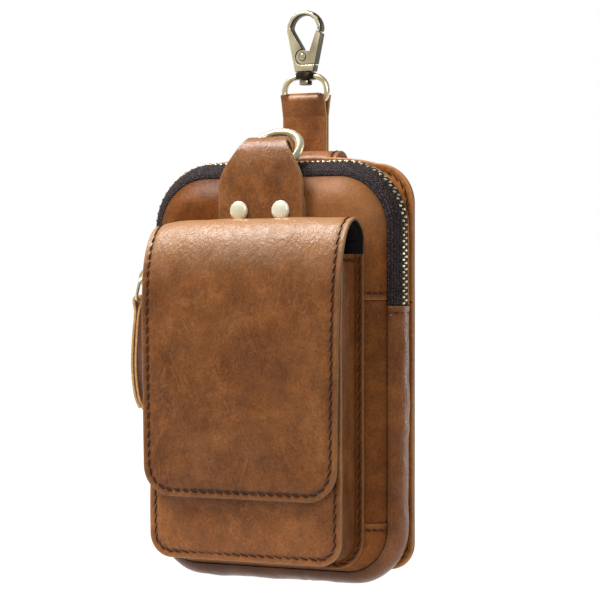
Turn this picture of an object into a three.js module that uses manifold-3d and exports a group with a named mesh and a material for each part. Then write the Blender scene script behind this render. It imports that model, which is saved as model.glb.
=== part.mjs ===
// A leather belt bag that hangs from a swivel snap hook: a slim zipped main compartment, a front pocket
// under a folded flap, a riveted tab with a ring, and a wide belt loop behind.
import * as THREE from "three";
import { mergeVertices } from "three/addons/utils/BufferGeometryUtils.js";
import Module from "manifold-3d";

const wasm = await Module();
wasm.setup();

// Driving dimensions in millimetres. In the bag's own frame x runs across, y backwards from the front
// panel's seam and z up from the lowest point of the gusset.
const GAP = 0.3;
const RUNNING_GAP = 0.45;
const LEATHER = 1.6;
const THIN_LEATHER = 1.2;
const TAPE = 1.0;
const LINING = 0.9;
// Half size of the boxes that cut or hold pieces
const REACH = 100;
// Rows round a strip's corner
const CORNER_STEPS = 5;

// Main compartment
const FRONT = { halfWidth: 52.5, bottom: 6, top: 167, bottomRadius: 18, topRadius: 22, crown: 0 };
const BACK = { halfWidth: 57.3, bottom: 6, top: 172.6, bottomRadius: 15, topRadius: 17, crown: 2.8 };
const BACK_THICKNESS = 2;
const SEAM_Y = 1;
const PANEL_RISE = 6;
const PANEL_SHOULDER = 12;
// Rings of the crowned panel, by distance in from its outline
const PANEL_RINGS = [0.4, 2, 4.5, 8, PANEL_SHOULDER];
const LAP_UPPER_Z = 116.5;
const LAP_LOWER_Z = 26.5;
const LAP_UNDER = 6;
const EDGE_DEPTH = 14;
const EDGE_REAR_STEP = 1.5;
const BULGE = { side: 4.5, top: 5.8, bottom: 5 };
const ZIP_END_Z = 114.5;
// Shares of the edge's depth that each piece of the zip side covers, front seam 0 to back panel 1
const EDGE_SHARE = {
  gusset: [0.0015, 0.985],
  tapeFront: [0.0015, 0.29],
  chain: [0.3, 0.55],
  tapeRear: [0.565, 0.66],
  facing: [0.675, 0.985],
};
const CHAIN_PROUD = 1;

// Front pocket and flap
const PLATE = { halfWidth: 45.6, bottom: 10.2, radius: 13, back: -5.3 };
const POCKET = { halfWidth: 43.2, bottom: 11.4, radius: 11, gussetTop: 135, frontTop: 128, overhang: 0.4 };
const POCKET_FRONT_Y = -23.4;
const POCKET_FLANGE = 3;
// How far the pocket's gusset sags inwards, at depths in front of the plate
const POCKET_SAG = [
  { depth: 5, sag: 0.8 },
  { depth: 9, sag: 0.9 },
];
const FLAP = { topHalfWidth: 44.9, bottomHalfWidth: 43.2, radius: 13, bottom: 36.4 };
// Outer face of the flap from the top of the plate over the fold and down the front
const FLAP_FOLD = [
  { y: -5.3, z: 138 },
  { y: -5.4, z: 142.6 },
  { y: -7.6, z: 146.3 },
  { y: -13.5, z: 149.6 },
  { y: -19.2, z: 147.3 },
  { y: -23.6, z: 140.8 },
  { y: -26.4, z: 131.5 },
  { y: -27.9, z: 121 },
  { y: -28.4, z: 108 },
];
const FLAP_FRONT_Y = -28.6;

// Riveted tab and ring
const TAB = { halfWidth: 19.3, foldHalfWidth: 8.5, taper: 25, rearNarrow: 9 };
// Outer face of the tab, up the front layer, over the ring and down the rear layer
const TAB_PROFILE = [
  { y: -8.9, z: 148.4 },
  { y: -8.9, z: 160 },
  { y: -8.5, z: 168 },
  { y: -7.6, z: 175 },
  { y: -5.8, z: 180.4 },
  { y: -2.2, z: 183.4 },
  { y: 2.2, z: 182.4 },
  { y: 5, z: 178.6 },
  { y: 4.3, z: 174.6 },
  { y: 1.5, z: 170.3 },
  { y: -2.2, z: 165.6 },
  { y: -5, z: 160.6 },
  { y: -5.3, z: 157 },
  { y: -5.3, z: 148.4 },
];
const RIVET = { x: 9.6, z: 152.9, head: 4.3, dome: 1.4, shank: 1.3, innerY: -2.9, cap: 3, capThickness: 1 };
// Shares of the rivet head's radius and of its dome's height
const RIVET_DOME = [
  { radius: 0, height: 1 },
  { radius: 0.5, height: 0.9 },
  { radius: 0.85, height: 0.55 },
  { radius: 1, height: 0 },
];
const RING = { radius: 11.4, wire: 1.8, nearY: -4.4, nearZ: 169.8, leanDeg: 46 };

// Belt loop and hook strap
const BELT_LOOP = { halfWidth: 21.5, thickness: 2.2, frontY: 17.6, rearY: 31.5 };
const BELT_LOOP_Z = { frontEnd: 128, roll: 171.8, rearEnd: 56 };
// Where the belt loop comes back to the bag, as a share of the way out to its rear layer
const BELT_LANDING = [
  { share: 1, z: 92 },
  { share: 0.91, z: 86 },
  { share: 0.5, z: 79 },
  { share: 0.09, z: 73 },
  { share: 0, z: 68 },
];
const STRAP = { halfWidth: 10.2, notchHalfWidth: 7.6, thickness: 1.5, frontY: 31.8, bottom: 138, gather: 7 };
// The strap's half width grows between these distances from the top of its fold
const STRAP_NOTCH = { from: 3.2, to: 4.9 };

// Swivel hook, measured from the inside top of its crook, which hangs at z 237.3 of the bag
const CROOK_Z = 237.3;
const HOOK_Y = STRAP.frontY + STRAP.thickness + GAP / 2;
const HOOK = { inner: 6.1, outer: 8.2, thickness: 4.4, baseZ: -23.9, baseHalfWidth: 4.4, clearance: 0.4 };
const HOOK_OPENING = { x: 1.2, halfWidth: 1.5, z: -15.4 };
const PIVOT = { x: -0.6, z: -17.8, pin: 1.5, eye: 3, tip: 12.8, sweepDeg: 62, slot: 2.2, tongue: 1.6 };
const POST = { radius: 1.6, head: 2.7, headTop: -27.7, bottom: -29.6 };
const COLLAR = { radius: 4.4, top: -24.3, bottom: -27.3, hole: 2 };
const LOOP_WIRE = 1.35;
const BAR_Z = -36.3;
// Right half of the loop's centre line, from the middle of the bar up to the collar
const LOOP_HALF = [
  { x: 0, z: BAR_Z },
  { x: 5, z: BAR_Z },
  { x: 8.3, z: BAR_Z + 0.2 },
  { x: 9.8, z: BAR_Z + 1.9 },
  { x: 9.95, z: BAR_Z + 4.8 },
  { x: 8.9, z: BAR_Z + 7.7 },
  { x: 6.4, z: BAR_Z + 9.7 },
  { x: 3, z: BAR_Z + 10.5 },
];

// Zip pull on the left side
const SLIDER = { z: 125.5, length: 10, width: 8, thickness: 3.2, bail: 3.6, bailWire: 0.9 };
const LINK = { wire: 0.75, halfWidth: 4, halfLength: 5, leanDeg: 14 };
const PULL = { halfWidth: 2.4, thickness: 1.4 };
// Middle of the doubled pull, out from and below the wire that it is folded round
const PULL_MIDDLE = [
  { out: -2.2, z: -43 },
  { out: 0.5, z: -38 },
  { out: 2.1, z: -27 },
  { out: 1.5, z: -14 },
  { out: 0.3, z: -5 },
];

const leather = material(0x8a5730, 0.5, 0);
const dark_tape = material(0x33282a, 0.85, 0);
const black_lining = material(0x15120f, 0.9, 0);
const brass = material(0xb8a877, 0.32, 1);

function material(color, roughness, metalness) {
  return new THREE.MeshStandardMaterial({ color, roughness, metalness });
}

function piece(name, geometry, finish) {
  const mesh = new THREE.Mesh(geometry, finish);
  mesh.name = name;
  return mesh;
}

// Joining and cutting closed geometries

function solidOf(geometry) {
  const bare = new THREE.BufferGeometry().setAttribute("position", geometry.getAttribute("position"));
  if (geometry.index) bare.setIndex(geometry.index);
  const merged = mergeVertices(bare, 1e-4);
  return new wasm.Manifold(
    new wasm.Mesh({
      numProp: 3,
      vertProperties: new Float32Array(merged.getAttribute("position").array),
      triVerts: new Uint32Array(merged.index.array),
    }),
  );
}

function geometryOf(solid) {
  const mesh = solid.getMesh();
  return new THREE.BufferGeometry()
    .setAttribute("position", new THREE.BufferAttribute(new Float32Array(mesh.vertProperties), 3))
    .setIndex(new THREE.BufferAttribute(new Uint32Array(mesh.triVerts), 1));
}

function box(low, high) {
  const size = high.map((value, axis) => value - low[axis]);
  const centre = high.map((value, axis) => (value + low[axis]) / 2);
  return solidOf(new THREE.BoxGeometry(...size).translate(...centre));
}

// A cylinder along y between two depths
function rod(radius, x, z, yLow, yHigh, sides = 16) {
  const geometry = new THREE.CylinderGeometry(radius, radius, yHigh - yLow, sides);
  return solidOf(geometry.translate(x, (yLow + yHigh) / 2, z));
}

// An outline in x and z as a plate between two depths, without the points in the middle of a straight side
function plate(outline, yLow, yHigh) {
  const count = outline.length;
  const turns = outline.filter((point, i) => {
    const before = outline[(i + count - 1) % count];
    const after = outline[(i + 1) % count];
    const cross = (point.x - before.x) * (after.z - point.z) - (point.z - before.z) * (after.x - point.x);
    return Math.abs(cross) > 1e-6;
  });
  const shape = new THREE.Shape(turns.map((point) => new THREE.Vector2(point.x, point.z)));
  const geometry = new THREE.ExtrudeGeometry(shape, { depth: yHigh - yLow, bevelEnabled: false });
  return geometry.rotateX(Math.PI / 2).translate(0, yHigh, 0);
}

// Sheets with a thickness

// A closed wall between two grids of points. A closed sheet wraps round across its columns.
function wall(front, back, closed = false) {
  const points = [];
  const seen = new Map();
  const index = [];
  const id = (point) => {
    const key = point.map((value) => value.toFixed(4)).join();
    if (!seen.has(key)) {
      seen.set(key, points.length / 3);
      points.push(...point);
    }
    return seen.get(key);
  };
  const triangle = (a, b, c) => {
    if (a !== b && b !== c && c !== a) index.push(a, b, c);
  };
  const quad = (a, b, c, d) => {
    const [i, j, k, l] = [a, b, c, d].map(id);
    triangle(i, j, k);
    triangle(i, k, l);
  };
  const rows = front.length;
  const columns = front[0].length;
  const spans = closed ? columns : columns - 1;
  for (let i = 0; i + 1 < rows; i++) {
    for (let j = 0; j < spans; j++) {
      const k = (j + 1) % columns;
      quad(front[i][j], front[i + 1][j], front[i + 1][k], front[i][k]);
      quad(back[i][j], back[i][k], back[i + 1][k], back[i + 1][j]);
    }
    if (!closed) {
      const last = columns - 1;
      quad(front[i][0], back[i][0], back[i + 1][0], front[i + 1][0]);
      quad(front[i][last], front[i + 1][last], back[i + 1][last], back[i][last]);
    }
  }
  for (let j = 0; j < spans; j++) {
    const k = (j + 1) % columns;
    const last = rows - 1;
    quad(front[0][j], front[0][k], back[0][k], back[0][j]);
    quad(front[last][j], back[last][j], back[last][k], front[last][k]);
  }
  const geometry = new THREE.BufferGeometry()
    .setAttribute("position", new THREE.BufferAttribute(new Float32Array(points), 3))
    .setIndex(index);
  return facingOut(geometry);
}

function facingOut(geometry) {
  if (solidOf(geometry).volume() > 0) return geometry;
  const index = geometry.index.array;
  for (let i = 0; i < index.length; i += 3) [index[i + 1], index[i + 2]] = [index[i + 2], index[i + 1]];
  return geometry;
}

// Evenly spaced points of a smooth curve through table rows of y and z
function smooth(rows, steps) {
  const curve = new THREE.CatmullRomCurve3(rows.map((row) => new THREE.Vector3(0, row.y, row.z)));
  return curve.getSpacedPoints(steps).map((point) => ({ y: point.y, z: point.z }));
}

// A strip of leather whose outer face follows a path in y and z, with its thickness to the path's right
// and a half width that may change along it
function strip(path, { thickness, halfWidth, columns = 2, inset = 0 }) {
  const along = [0];
  for (let i = 1; i < path.length; i++)
    along.push(along[i - 1] + Math.hypot(path[i].y - path[i - 1].y, path[i].z - path[i - 1].z));
  const face = (depth) =>
    path.map((point, i) => {
      const before = path[Math.max(i - 1, 0)];
      const after = path[Math.min(i + 1, path.length - 1)];
      const length = Math.hypot(after.y - before.y, after.z - before.z);
      const y = point.y - (depth * (after.z - before.z)) / -length;
      const z = point.z - (depth * (after.y - before.y)) / length;
      const half = halfWidth(along[i], along[path.length - 1] - along[i]);
      return Array.from({ length: columns }, (_, j) => [half * ((2 * j) / (columns - 1) - 1), y, z]);
    });
  return wall(face(inset), face(inset + thickness));
}

// How much a rounded end narrows a strip, at a distance from that end
function roundEnd(distance, radius) {
  return distance >= radius ? 0 : radius - Math.sqrt(radius ** 2 - (radius - distance) ** 2);
}

// Distances from a rounded end at which a strip needs a row
function roundEndRows(radius) {
  const quarter = (i) => (Math.PI / 2) * (i / CORNER_STEPS);
  return Array.from({ length: CORNER_STEPS + 1 }, (_, i) => radius * (1 - Math.cos(quarter(i))));
}

// Outlines of the panels, as stations with an outward normal

function arc(centreX, centreZ, radius, fromDeg, toDeg, steps) {
  return Array.from({ length: steps + 1 }, (_, i) => {
    const angle = THREE.MathUtils.degToRad(fromDeg + ((toDeg - fromDeg) * i) / steps);
    const normal = { nx: Math.cos(angle), nz: Math.sin(angle) };
    return { x: centreX + radius * normal.nx, z: centreZ + radius * normal.nz, ...normal };
  });
}

// From the right side at height z down, round the bottom and up the left side to z
function lowerRun(outline, z, steps = 7) {
  const { halfWidth, bottom, bottomRadius: radius } = outline;
  const side = (sign, height) => ({ x: sign * halfWidth, z: height, nx: sign, nz: 0 });
  const middle = (z + bottom + radius) / 2;
  return [
    side(1, z),
    side(1, middle),
    ...arc(halfWidth - radius, bottom + radius, radius, 0, -90, steps),
    { x: 0, z: bottom, nx: 0, nz: -1 },
    ...arc(radius - halfWidth, bottom + radius, radius, -90, -180, steps),
    side(-1, middle),
    side(-1, z),
  ];
}

// From the right side at height z up, over the crowned top and down the left side to z
function upperRun(outline, z, steps = 8) {
  const { halfWidth, top, topRadius: radius, crown } = outline;
  const flat = halfWidth - radius;
  const crowned = [0.5, 0, -0.5].map((share) => ({
    x: flat * share,
    z: top + crown * (1 - share ** 2),
    nx: 0,
    nz: 1,
  }));
  return [
    { x: halfWidth, z, nx: 1, nz: 0 },
    ...arc(flat, top - radius, radius, 0, 90, steps),
    ...crowned,
    ...arc(-flat, top - radius, radius, 90, 180, steps),
    { x: -halfWidth, z, nx: -1, nz: 0 },
  ];
}

function closedOutline(outline) {
  return [...lowerRun(outline, ZIP_END_Z), ...upperRun(outline, ZIP_END_Z).slice(1, -1).reverse()];
}

// The crowned front of the main compartment

// How far forward of its seam the front panel stands, at a distance in from its edge
function panelRise(inset) {
  return PANEL_RISE * (1 - (1 - Math.min(inset / PANEL_SHOULDER, 1)) ** 2);
}

function crownedPanel(setBack) {
  const outline = closedOutline(FRONT);
  const face = (depth) => {
    const rings = PANEL_RINGS.map((inset) =>
      outline.map((p) => [p.x - p.nx * inset, SEAM_Y - panelRise(inset) + depth, p.z - p.nz * inset]),
    );
    const centre = [0, SEAM_Y - PANEL_RISE + depth, (FRONT.bottom + FRONT.top) / 2];
    return [...rings, outline.map(() => centre)];
  };
  return solidOf(wall(face(setBack), face(setBack + THIN_LEATHER), true));
}

function withRivetHoles(solid) {
  const hole = (side) => rod(RIVET.shank + GAP, side * RIVET.x, RIVET.z, -REACH, REACH, 12);
  return solid.subtract(hole(-1)).subtract(hole(1));
}

function frontPanels() {
  const between = (low, high) => box([-REACH, -REACH, low], [REACH, REACH, high]);
  const face = crownedPanel(0);
  const behind = crownedPanel(THIN_LEATHER + GAP);
  const upper = withRivetHoles(face.intersect(between(LAP_UPPER_Z, 2 * REACH)));
  const middle = behind.intersect(between(LAP_LOWER_Z - LAP_UNDER, LAP_UPPER_Z + LAP_UNDER));
  const lower = face.intersect(between(-REACH, LAP_LOWER_Z));
  return [
    piece("front_panel_upper", geometryOf(upper), leather),
    piece("front_panel_middle", geometryOf(middle), leather),
    piece("front_panel_lower", geometryOf(lower), leather),
  ];
}

// The bulging edge between the front seam and the back panel

function edgeBulge(station) {
  const far = station.nz > 0 ? BULGE.top : BULGE.bottom;
  return BULGE.side + (far - BULGE.side) * Math.abs(station.nz);
}

// A point of the edge at a share of its depth, sunk below its outer surface
function edgePoint(station, share, sunk) {
  const angle = Math.acos(1 - 2 * share);
  const bulge = edgeBulge(station);
  const runOut = (EDGE_REAR_STEP / 2) * Math.sin(angle) + bulge * Math.cos(angle);
  const runBack = (EDGE_DEPTH / 2) * Math.sin(angle);
  const length = Math.hypot(runOut, runBack);
  const out = EDGE_REAR_STEP * share + bulge * Math.sin(angle) - (sunk * runBack) / length;
  const back = EDGE_DEPTH * share + (sunk * runOut) / length;
  return [station.x + station.nx * out, SEAM_Y + back, station.z + station.nz * out];
}

function edgeSheet(run, [from, to], steps, proud, thickness) {
  const angles = [from, to].map((share) => Math.acos(1 - 2 * share));
  const shares = Array.from({ length: steps + 1 }, (_, j) => {
    const angle = angles[0] + ((angles[1] - angles[0]) * j) / steps;
    return (1 - Math.cos(angle)) / 2;
  });
  const face = (sunk) => run.map((station) => shares.map((share) => edgePoint(station, share, sunk)));
  return wall(face(-proud), face(thickness - proud));
}

function mainEdge() {
  const lower = lowerRun(FRONT, ZIP_END_Z - GAP);
  const upper = upperRun(FRONT, ZIP_END_Z);
  return [
    piece("gusset", edgeSheet(lower, EDGE_SHARE.gusset, 9, 0, LEATHER), leather),
    piece("zip_tape_front", edgeSheet(upper, EDGE_SHARE.tapeFront, 4, 0, TAPE), dark_tape),
    piece("zip_chain", edgeSheet(upper, EDGE_SHARE.chain, 2, CHAIN_PROUD, 2 * CHAIN_PROUD), brass),
    piece("zip_tape_rear", edgeSheet(upper, EDGE_SHARE.tapeRear, 1, 0, TAPE), dark_tape),
    piece("zip_facing", edgeSheet(upper, EDGE_SHARE.facing, 4, 0, THIN_LEATHER), leather),
  ];
}

function backPanel() {
  const front = SEAM_Y + EDGE_DEPTH + GAP;
  return piece("back_panel", plate(closedOutline(BACK), front, front + BACK_THICKNESS), leather);
}

// Front pocket

function pocketFlap() {
  const fold = smooth(FLAP_FOLD, 20).reverse();
  const plateRows = roundEndRows(PLATE.radius).map((rise) => ({ y: PLATE.back, z: PLATE.bottom + rise }));
  const flapRows = roundEndRows(FLAP.radius).map((rise) => ({ y: FLAP_FRONT_Y, z: FLAP.bottom + rise }));
  const middle = (FLAP_FOLD[0].z + PLATE.bottom) / 2;
  const frontMiddle = { y: FLAP_FRONT_Y, z: middle };
  const path = [...flapRows, frontMiddle, ...fold, { y: PLATE.back, z: middle }, ...plateRows.reverse()];
  const plateLength = FLAP_FOLD[2].z - PLATE.bottom;
  const flapLength = FLAP_FOLD[3].z - FLAP.bottom;
  const halfWidth = (fromFlap, fromPlate) => {
    if (fromPlate < plateLength) return PLATE.halfWidth - roundEnd(fromPlate, PLATE.radius);
    const share = Math.min(fromFlap / flapLength, 1);
    const half = FLAP.bottomHalfWidth + (FLAP.topHalfWidth - FLAP.bottomHalfWidth) * share;
    return half - roundEnd(fromFlap, FLAP.radius);
  };
  const flap = strip(path, { thickness: LEATHER, halfWidth, columns: 3 });
  const lined = [{ y: FLAP_FRONT_Y, z: FLAP.bottom + FLAP.radius }, frontMiddle, ...fold];
  const lining = strip(lined, {
    thickness: LINING,
    halfWidth: () => FLAP.bottomHalfWidth - 1,
    inset: LEATHER + GAP,
  });
  return [piece("pocket_flap", flap, leather), piece("flap_lining", lining, black_lining)];
}

function pocketBox() {
  const run = lowerRun({ ...POCKET, bottomRadius: POCKET.radius }, POCKET.gussetTop);
  const plateFront = PLATE.back - LEATHER;
  const frontBack = POCKET_FRONT_Y + LEATHER;
  const start = plateFront - GAP;
  const end = frontBack + GAP;
  const thick = THIN_LEATHER;
  const turn = thick / 2;
  const sagging = POCKET_SAG.map(({ depth, sag }) => ({
    out: -sag,
    y: start - depth,
    inOut: -sag - thick,
    inY: start - depth,
  }));
  // Outer and inner face of the gusset's section: how far out of the pocket's outline, and the depth
  const section = [
    { out: POCKET_FLANGE, y: start - thick, inOut: POCKET_FLANGE, inY: start },
    { out: turn, y: start - thick, inOut: turn - thick, inY: start },
    { out: 0, y: start - thick - turn, inOut: -thick, inY: start - turn },
    ...sagging,
    { out: 0, y: end, inOut: -thick, inY: end },
  ];
  const place = (station, out, y) => [station.x + station.nx * out, y, station.z + station.nz * out];
  const gusset = wall(
    run.map((station) => section.map((row) => place(station, row.out, row.y))),
    run.map((station) => section.map((row) => place(station, row.inOut, row.inY))),
  );
  const grown = {
    halfWidth: POCKET.halfWidth + POCKET.overhang,
    bottom: POCKET.bottom - POCKET.overhang,
    bottomRadius: POCKET.radius + POCKET.overhang,
  };
  const outline = lowerRun(grown, POCKET.frontTop);
  return [
    piece("pocket_gusset", gusset, leather),
    piece("pocket_front", plate(outline, POCKET_FRONT_Y, frontBack), leather),
  ];
}

// Riveted tab with its ring

function rivet(name, x) {
  const front = TAB_PROFILE[0].y - GAP;
  const grip = RIVET.innerY - front;
  const profile = [
    ...RIVET_DOME.map(({ radius, height }) => [RIVET.head * radius, -RIVET.dome * height]),
    [RIVET.shank, 0],
    [RIVET.shank, grip],
    [RIVET.cap, grip],
    [RIVET.cap, grip + RIVET.capThickness],
    [0, grip + RIVET.capThickness],
  ].map(([radius, depth]) => new THREE.Vector2(radius, depth));
  const geometry = facingOut(mergedLathe(profile, 14));
  return piece(name, geometry.translate(x, front, RIVET.z), brass);
}

function mergedLathe(profile, sides) {
  const geometry = new THREE.LatheGeometry(profile, sides);
  geometry.deleteAttribute("normal");
  geometry.deleteAttribute("uv");
  return mergeVertices(geometry, 1e-4);
}

function frontTab() {
  const path = smooth(TAB_PROFILE, 40);
  const halfWidth = (along, left) => {
    const fromApex = (left - along) / 2;
    const distance = fromApex > 0 ? fromApex : Math.max(-fromApex - TAB.rearNarrow, 0);
    const share = THREE.MathUtils.smoothstep(distance, 0, TAB.taper);
    return TAB.foldHalfWidth + (TAB.halfWidth - TAB.foldHalfWidth) * share;
  };
  const sheet = solidOf(strip(path, { thickness: LEATHER, halfWidth }));
  return [
    piece("front_tab", geometryOf(withRivetHoles(sheet)), leather),
    rivet("tab_rivet_left", -RIVET.x),
    rivet("tab_rivet_right", RIVET.x),
  ];
}

function tabRing() {
  const lean = THREE.MathUtils.degToRad(RING.leanDeg);
  const ring = piece("tab_ring", new THREE.TorusGeometry(RING.radius, RING.wire, 10, 28), brass);
  ring.rotation.x = lean;
  ring.position.set(0, RING.nearY + RING.radius * Math.cos(lean), RING.nearZ + RING.radius * Math.sin(lean));
  return ring;
}

// Straps behind the bag

function beltLoop() {
  const { frontY, rearY, thickness, halfWidth } = BELT_LOOP;
  const radius = (rearY - frontY) / 2;
  const turn = arc((frontY + rearY) / 2, BELT_LOOP_Z.roll, radius, 180, 0, 12);
  const roll = turn.map((p) => ({ y: p.x, z: p.z }));
  const lay = frontY + thickness;
  const landing = BELT_LANDING.map(({ share, z }) => ({ y: lay + share * (rearY - lay), z }));
  const start = { y: frontY, z: BELT_LOOP_Z.frontEnd };
  const path = [start, ...roll, ...smooth(landing, 9), { y: lay, z: BELT_LOOP_Z.rearEnd }];
  return piece("belt_loop", strip(path, { thickness, halfWidth: () => halfWidth, columns: 3 }), leather);
}

function hookStrap() {
  const { thickness, frontY, bottom } = STRAP;
  const barZ = CROOK_Z + BAR_Z;
  const inner = LOOP_WIRE + RUNNING_GAP;
  const outer = inner + thickness;
  const rearY = 2 * HOOK_Y - frontY;
  const over = arc(HOOK_Y, barZ, outer, 180, 0, 12).map((p) => ({ y: p.x, z: p.z }));
  const gather = barZ - STRAP.gather;
  const path = [
    { y: frontY, z: bottom },
    { y: frontY, z: gather },
    ...over,
    { y: rearY, z: gather },
    { y: rearY, z: bottom },
  ];
  const notch = (along, left) => {
    const fromApex = Math.abs(along - left) / 2;
    const share = THREE.MathUtils.smoothstep(fromApex, STRAP_NOTCH.from, STRAP_NOTCH.to);
    return STRAP.notchHalfWidth + (STRAP.halfWidth - STRAP.notchHalfWidth) * share;
  };
  return piece("hook_strap", strip(path, { thickness, halfWidth: notch, columns: 3 }), leather);
}

// Swivel snap hook, centred on x and y 0 with z 0 at the inside top of the crook

function hookOutline(radius, foot) {
  const crown = arc(0, -HOOK.inner, radius, 0, 180, 16);
  return [...crown, { x: foot.x - foot.halfWidth, z: foot.z }, { x: foot.x + foot.halfWidth, z: foot.z }];
}

function hookPlate(outline, half = HOOK.thickness / 2) {
  return solidOf(plate(outline, -half, half));
}

// The side of the hook that the gate fills, grown by a clearance
function gateSide(clearance) {
  const tip = PIVOT.tip + clearance;
  const eye = PIVOT.eye + clearance;
  const sweep = arc(PIVOT.x, PIVOT.z, tip, 0, PIVOT.sweepDeg, 10);
  const round = arc(PIVOT.x, PIVOT.z, eye, PIVOT.sweepDeg, 270, 15);
  const below = { x: REACH, z: PIVOT.z - eye };
  return hookPlate([...sweep, ...round, below, { x: REACH, z: PIVOT.z }], HOOK.thickness);
}

function hookParts() {
  const half = HOOK.thickness / 2;
  const foot = { x: 0, halfWidth: HOOK.baseHalfWidth, z: HOOK.baseZ };
  const overlap = 1;
  const whole = hookPlate(hookOutline(HOOK.outer, foot));
  const frame = whole.subtract(hookPlate(hookOutline(HOOK.inner, HOOK_OPENING), HOOK.thickness));
  const slotDisc = (radius, width) => rod(radius, PIVOT.x, PIVOT.z, -width / 2, width / 2, 20);
  const bridgeLow = [-HOOK.baseHalfWidth, -PIVOT.tongue / 2, HOOK.baseZ + overlap];
  const bridge = box(bridgeLow, [PIVOT.x, PIVOT.tongue / 2, PIVOT.z]);
  const tongue = slotDisc(PIVOT.eye - HOOK.clearance, PIVOT.tongue).add(bridge.intersect(whole));
  const pinHole = rod(PIVOT.pin + GAP, PIVOT.x, PIVOT.z, -HOOK.thickness, HOOK.thickness, 14);
  const post = facingOut(
    mergedLathe(
      [
        [0, POST.bottom],
        [POST.head, POST.bottom],
        [POST.head, POST.headTop],
        [POST.radius, POST.headTop],
        [POST.radius, HOOK.baseZ + overlap],
        [0, HOOK.baseZ + overlap],
      ].map(([radius, z]) => new THREE.Vector2(radius, z)),
      16,
    ),
  ).rotateX(Math.PI / 2);
  const body = frame.subtract(gateSide(HOOK.clearance)).add(tongue).add(solidOf(post)).subtract(pinHole);
  const gate = frame
    .intersect(gateSide(0))
    .add(slotDisc(PIVOT.eye, HOOK.thickness).intersect(whole))
    .subtract(slotDisc(PIVOT.eye + HOOK.clearance, PIVOT.slot))
    .subtract(pinHole);
  const pin = rod(PIVOT.pin, PIVOT.x, PIVOT.z, -half - GAP, half + GAP, 14);
  return [
    piece("hook_body", geometryOf(body), brass),
    piece("hook_gate", geometryOf(gate), brass),
    piece("gate_pin", geometryOf(pin), brass),
  ];
}

function hookLoop() {
  const mirrored = LOOP_HALF.slice(1).reverse().map((p) => ({ x: -p.x, z: p.z }));
  const centre = [...LOOP_HALF, ...mirrored].map((p) => new THREE.Vector3(p.x, 0, p.z));
  const wire = new THREE.TubeGeometry(new THREE.CatmullRomCurve3(centre, true), 40, LOOP_WIRE, 8, true);
  const middle = (COLLAR.top + COLLAR.bottom) / 2;
  const barrel = (radius, height) => {
    const geometry = new THREE.CylinderGeometry(radius, radius, height, 12).rotateX(Math.PI / 2);
    return solidOf(geometry.translate(0, 0, middle));
  };
  const height = COLLAR.top - COLLAR.bottom;
  const loop = solidOf(wire).add(barrel(COLLAR.radius, height)).subtract(barrel(COLLAR.hole, height * 3));
  return piece("hook_loop", geometryOf(loop), brass);
}

// Slider and pull on the left run of the zip

function zipPull() {
  const station = { x: -FRONT.halfWidth, z: SLIDER.z, nx: -1, nz: 0 };
  const share = (EDGE_SHARE.chain[0] + EDGE_SHARE.chain[1]) / 2;
  const [chainX, chainY] = edgePoint(station, share, -CHAIN_PROUD);
  const face = chainX - RUNNING_GAP;
  const top = face - SLIDER.thickness;
  const reach = { y: SLIDER.width / 2, z: SLIDER.length / 2 };
  const body = box([top, chainY - reach.y, SLIDER.z - reach.z], [face, chainY + reach.y, SLIDER.z + reach.z]);
  const bail = new THREE.TorusGeometry(SLIDER.bail, SLIDER.bailWire, 8, 16).rotateX(Math.PI / 2);
  const sunk = 0.6;
  const outside = box([top - SLIDER.length, 0, 0], [top + sunk, 2 * chainY, 2 * SLIDER.z]);
  const slider = body.add(solidOf(bail.translate(top, chainY, SLIDER.z)).intersect(outside));

  const eye = top - (SLIDER.bail - SLIDER.bailWire) / 2;
  const lean = THREE.MathUtils.degToRad(LINK.leanDeg);
  const squared = (value) => Math.sign(value) * Math.sqrt(Math.abs(value));
  const centre = arc(0, 0, 1, 0, 360, 16).slice(1).map(
    (p) => new THREE.Vector3(0, LINK.halfWidth * squared(p.x), LINK.halfLength * (squared(p.z) - 1)),
  );
  const link = new THREE.TubeGeometry(new THREE.CatmullRomCurve3(centre, true), 24, LINK.wire, 6, true);
  link.rotateY(lean).translate(eye, chainY, SLIDER.z);

  const inner = LINK.wire + RUNNING_GAP;
  const outer = inner + PULL.thickness;
  const layer = PULL.thickness + GAP / 2;
  const fold = arc(0, 0, outer, 180, 0, 8).map((p) => ({ y: p.x, z: p.z }));
  const near = PULL_MIDDLE.map((row) => ({ y: row.out - layer, z: row.z }));
  const far = PULL_MIDDLE.map((row) => ({ y: row.out + layer, z: row.z }));
  const pull = strip([...near, ...fold, ...far.reverse()], {
    thickness: PULL.thickness,
    halfWidth: () => PULL.halfWidth,
  });
  const hang = 2 * LINK.halfLength;
  pull.rotateZ(Math.PI / 2).translate(eye - hang * Math.sin(lean), chainY, SLIDER.z - hang * Math.cos(lean));
  return [
    piece("zip_slider", geometryOf(slider), brass),
    piece("zip_pull_link", link, brass),
    piece("zip_pull_strap", pull, leather),
  ];
}

const bag = new THREE.Group();
bag.position.set(0, -HOOK_Y, -CROOK_Z);
bag.add(backPanel(), ...frontPanels(), ...mainEdge(), ...pocketFlap(), ...pocketBox());
bag.add(...frontTab(), tabRing(), beltLoop(), hookStrap(), ...zipPull());

const beltBag = new THREE.Group();
beltBag.add(...hookParts(), hookLoop(), bag);

export default beltBag;
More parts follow.
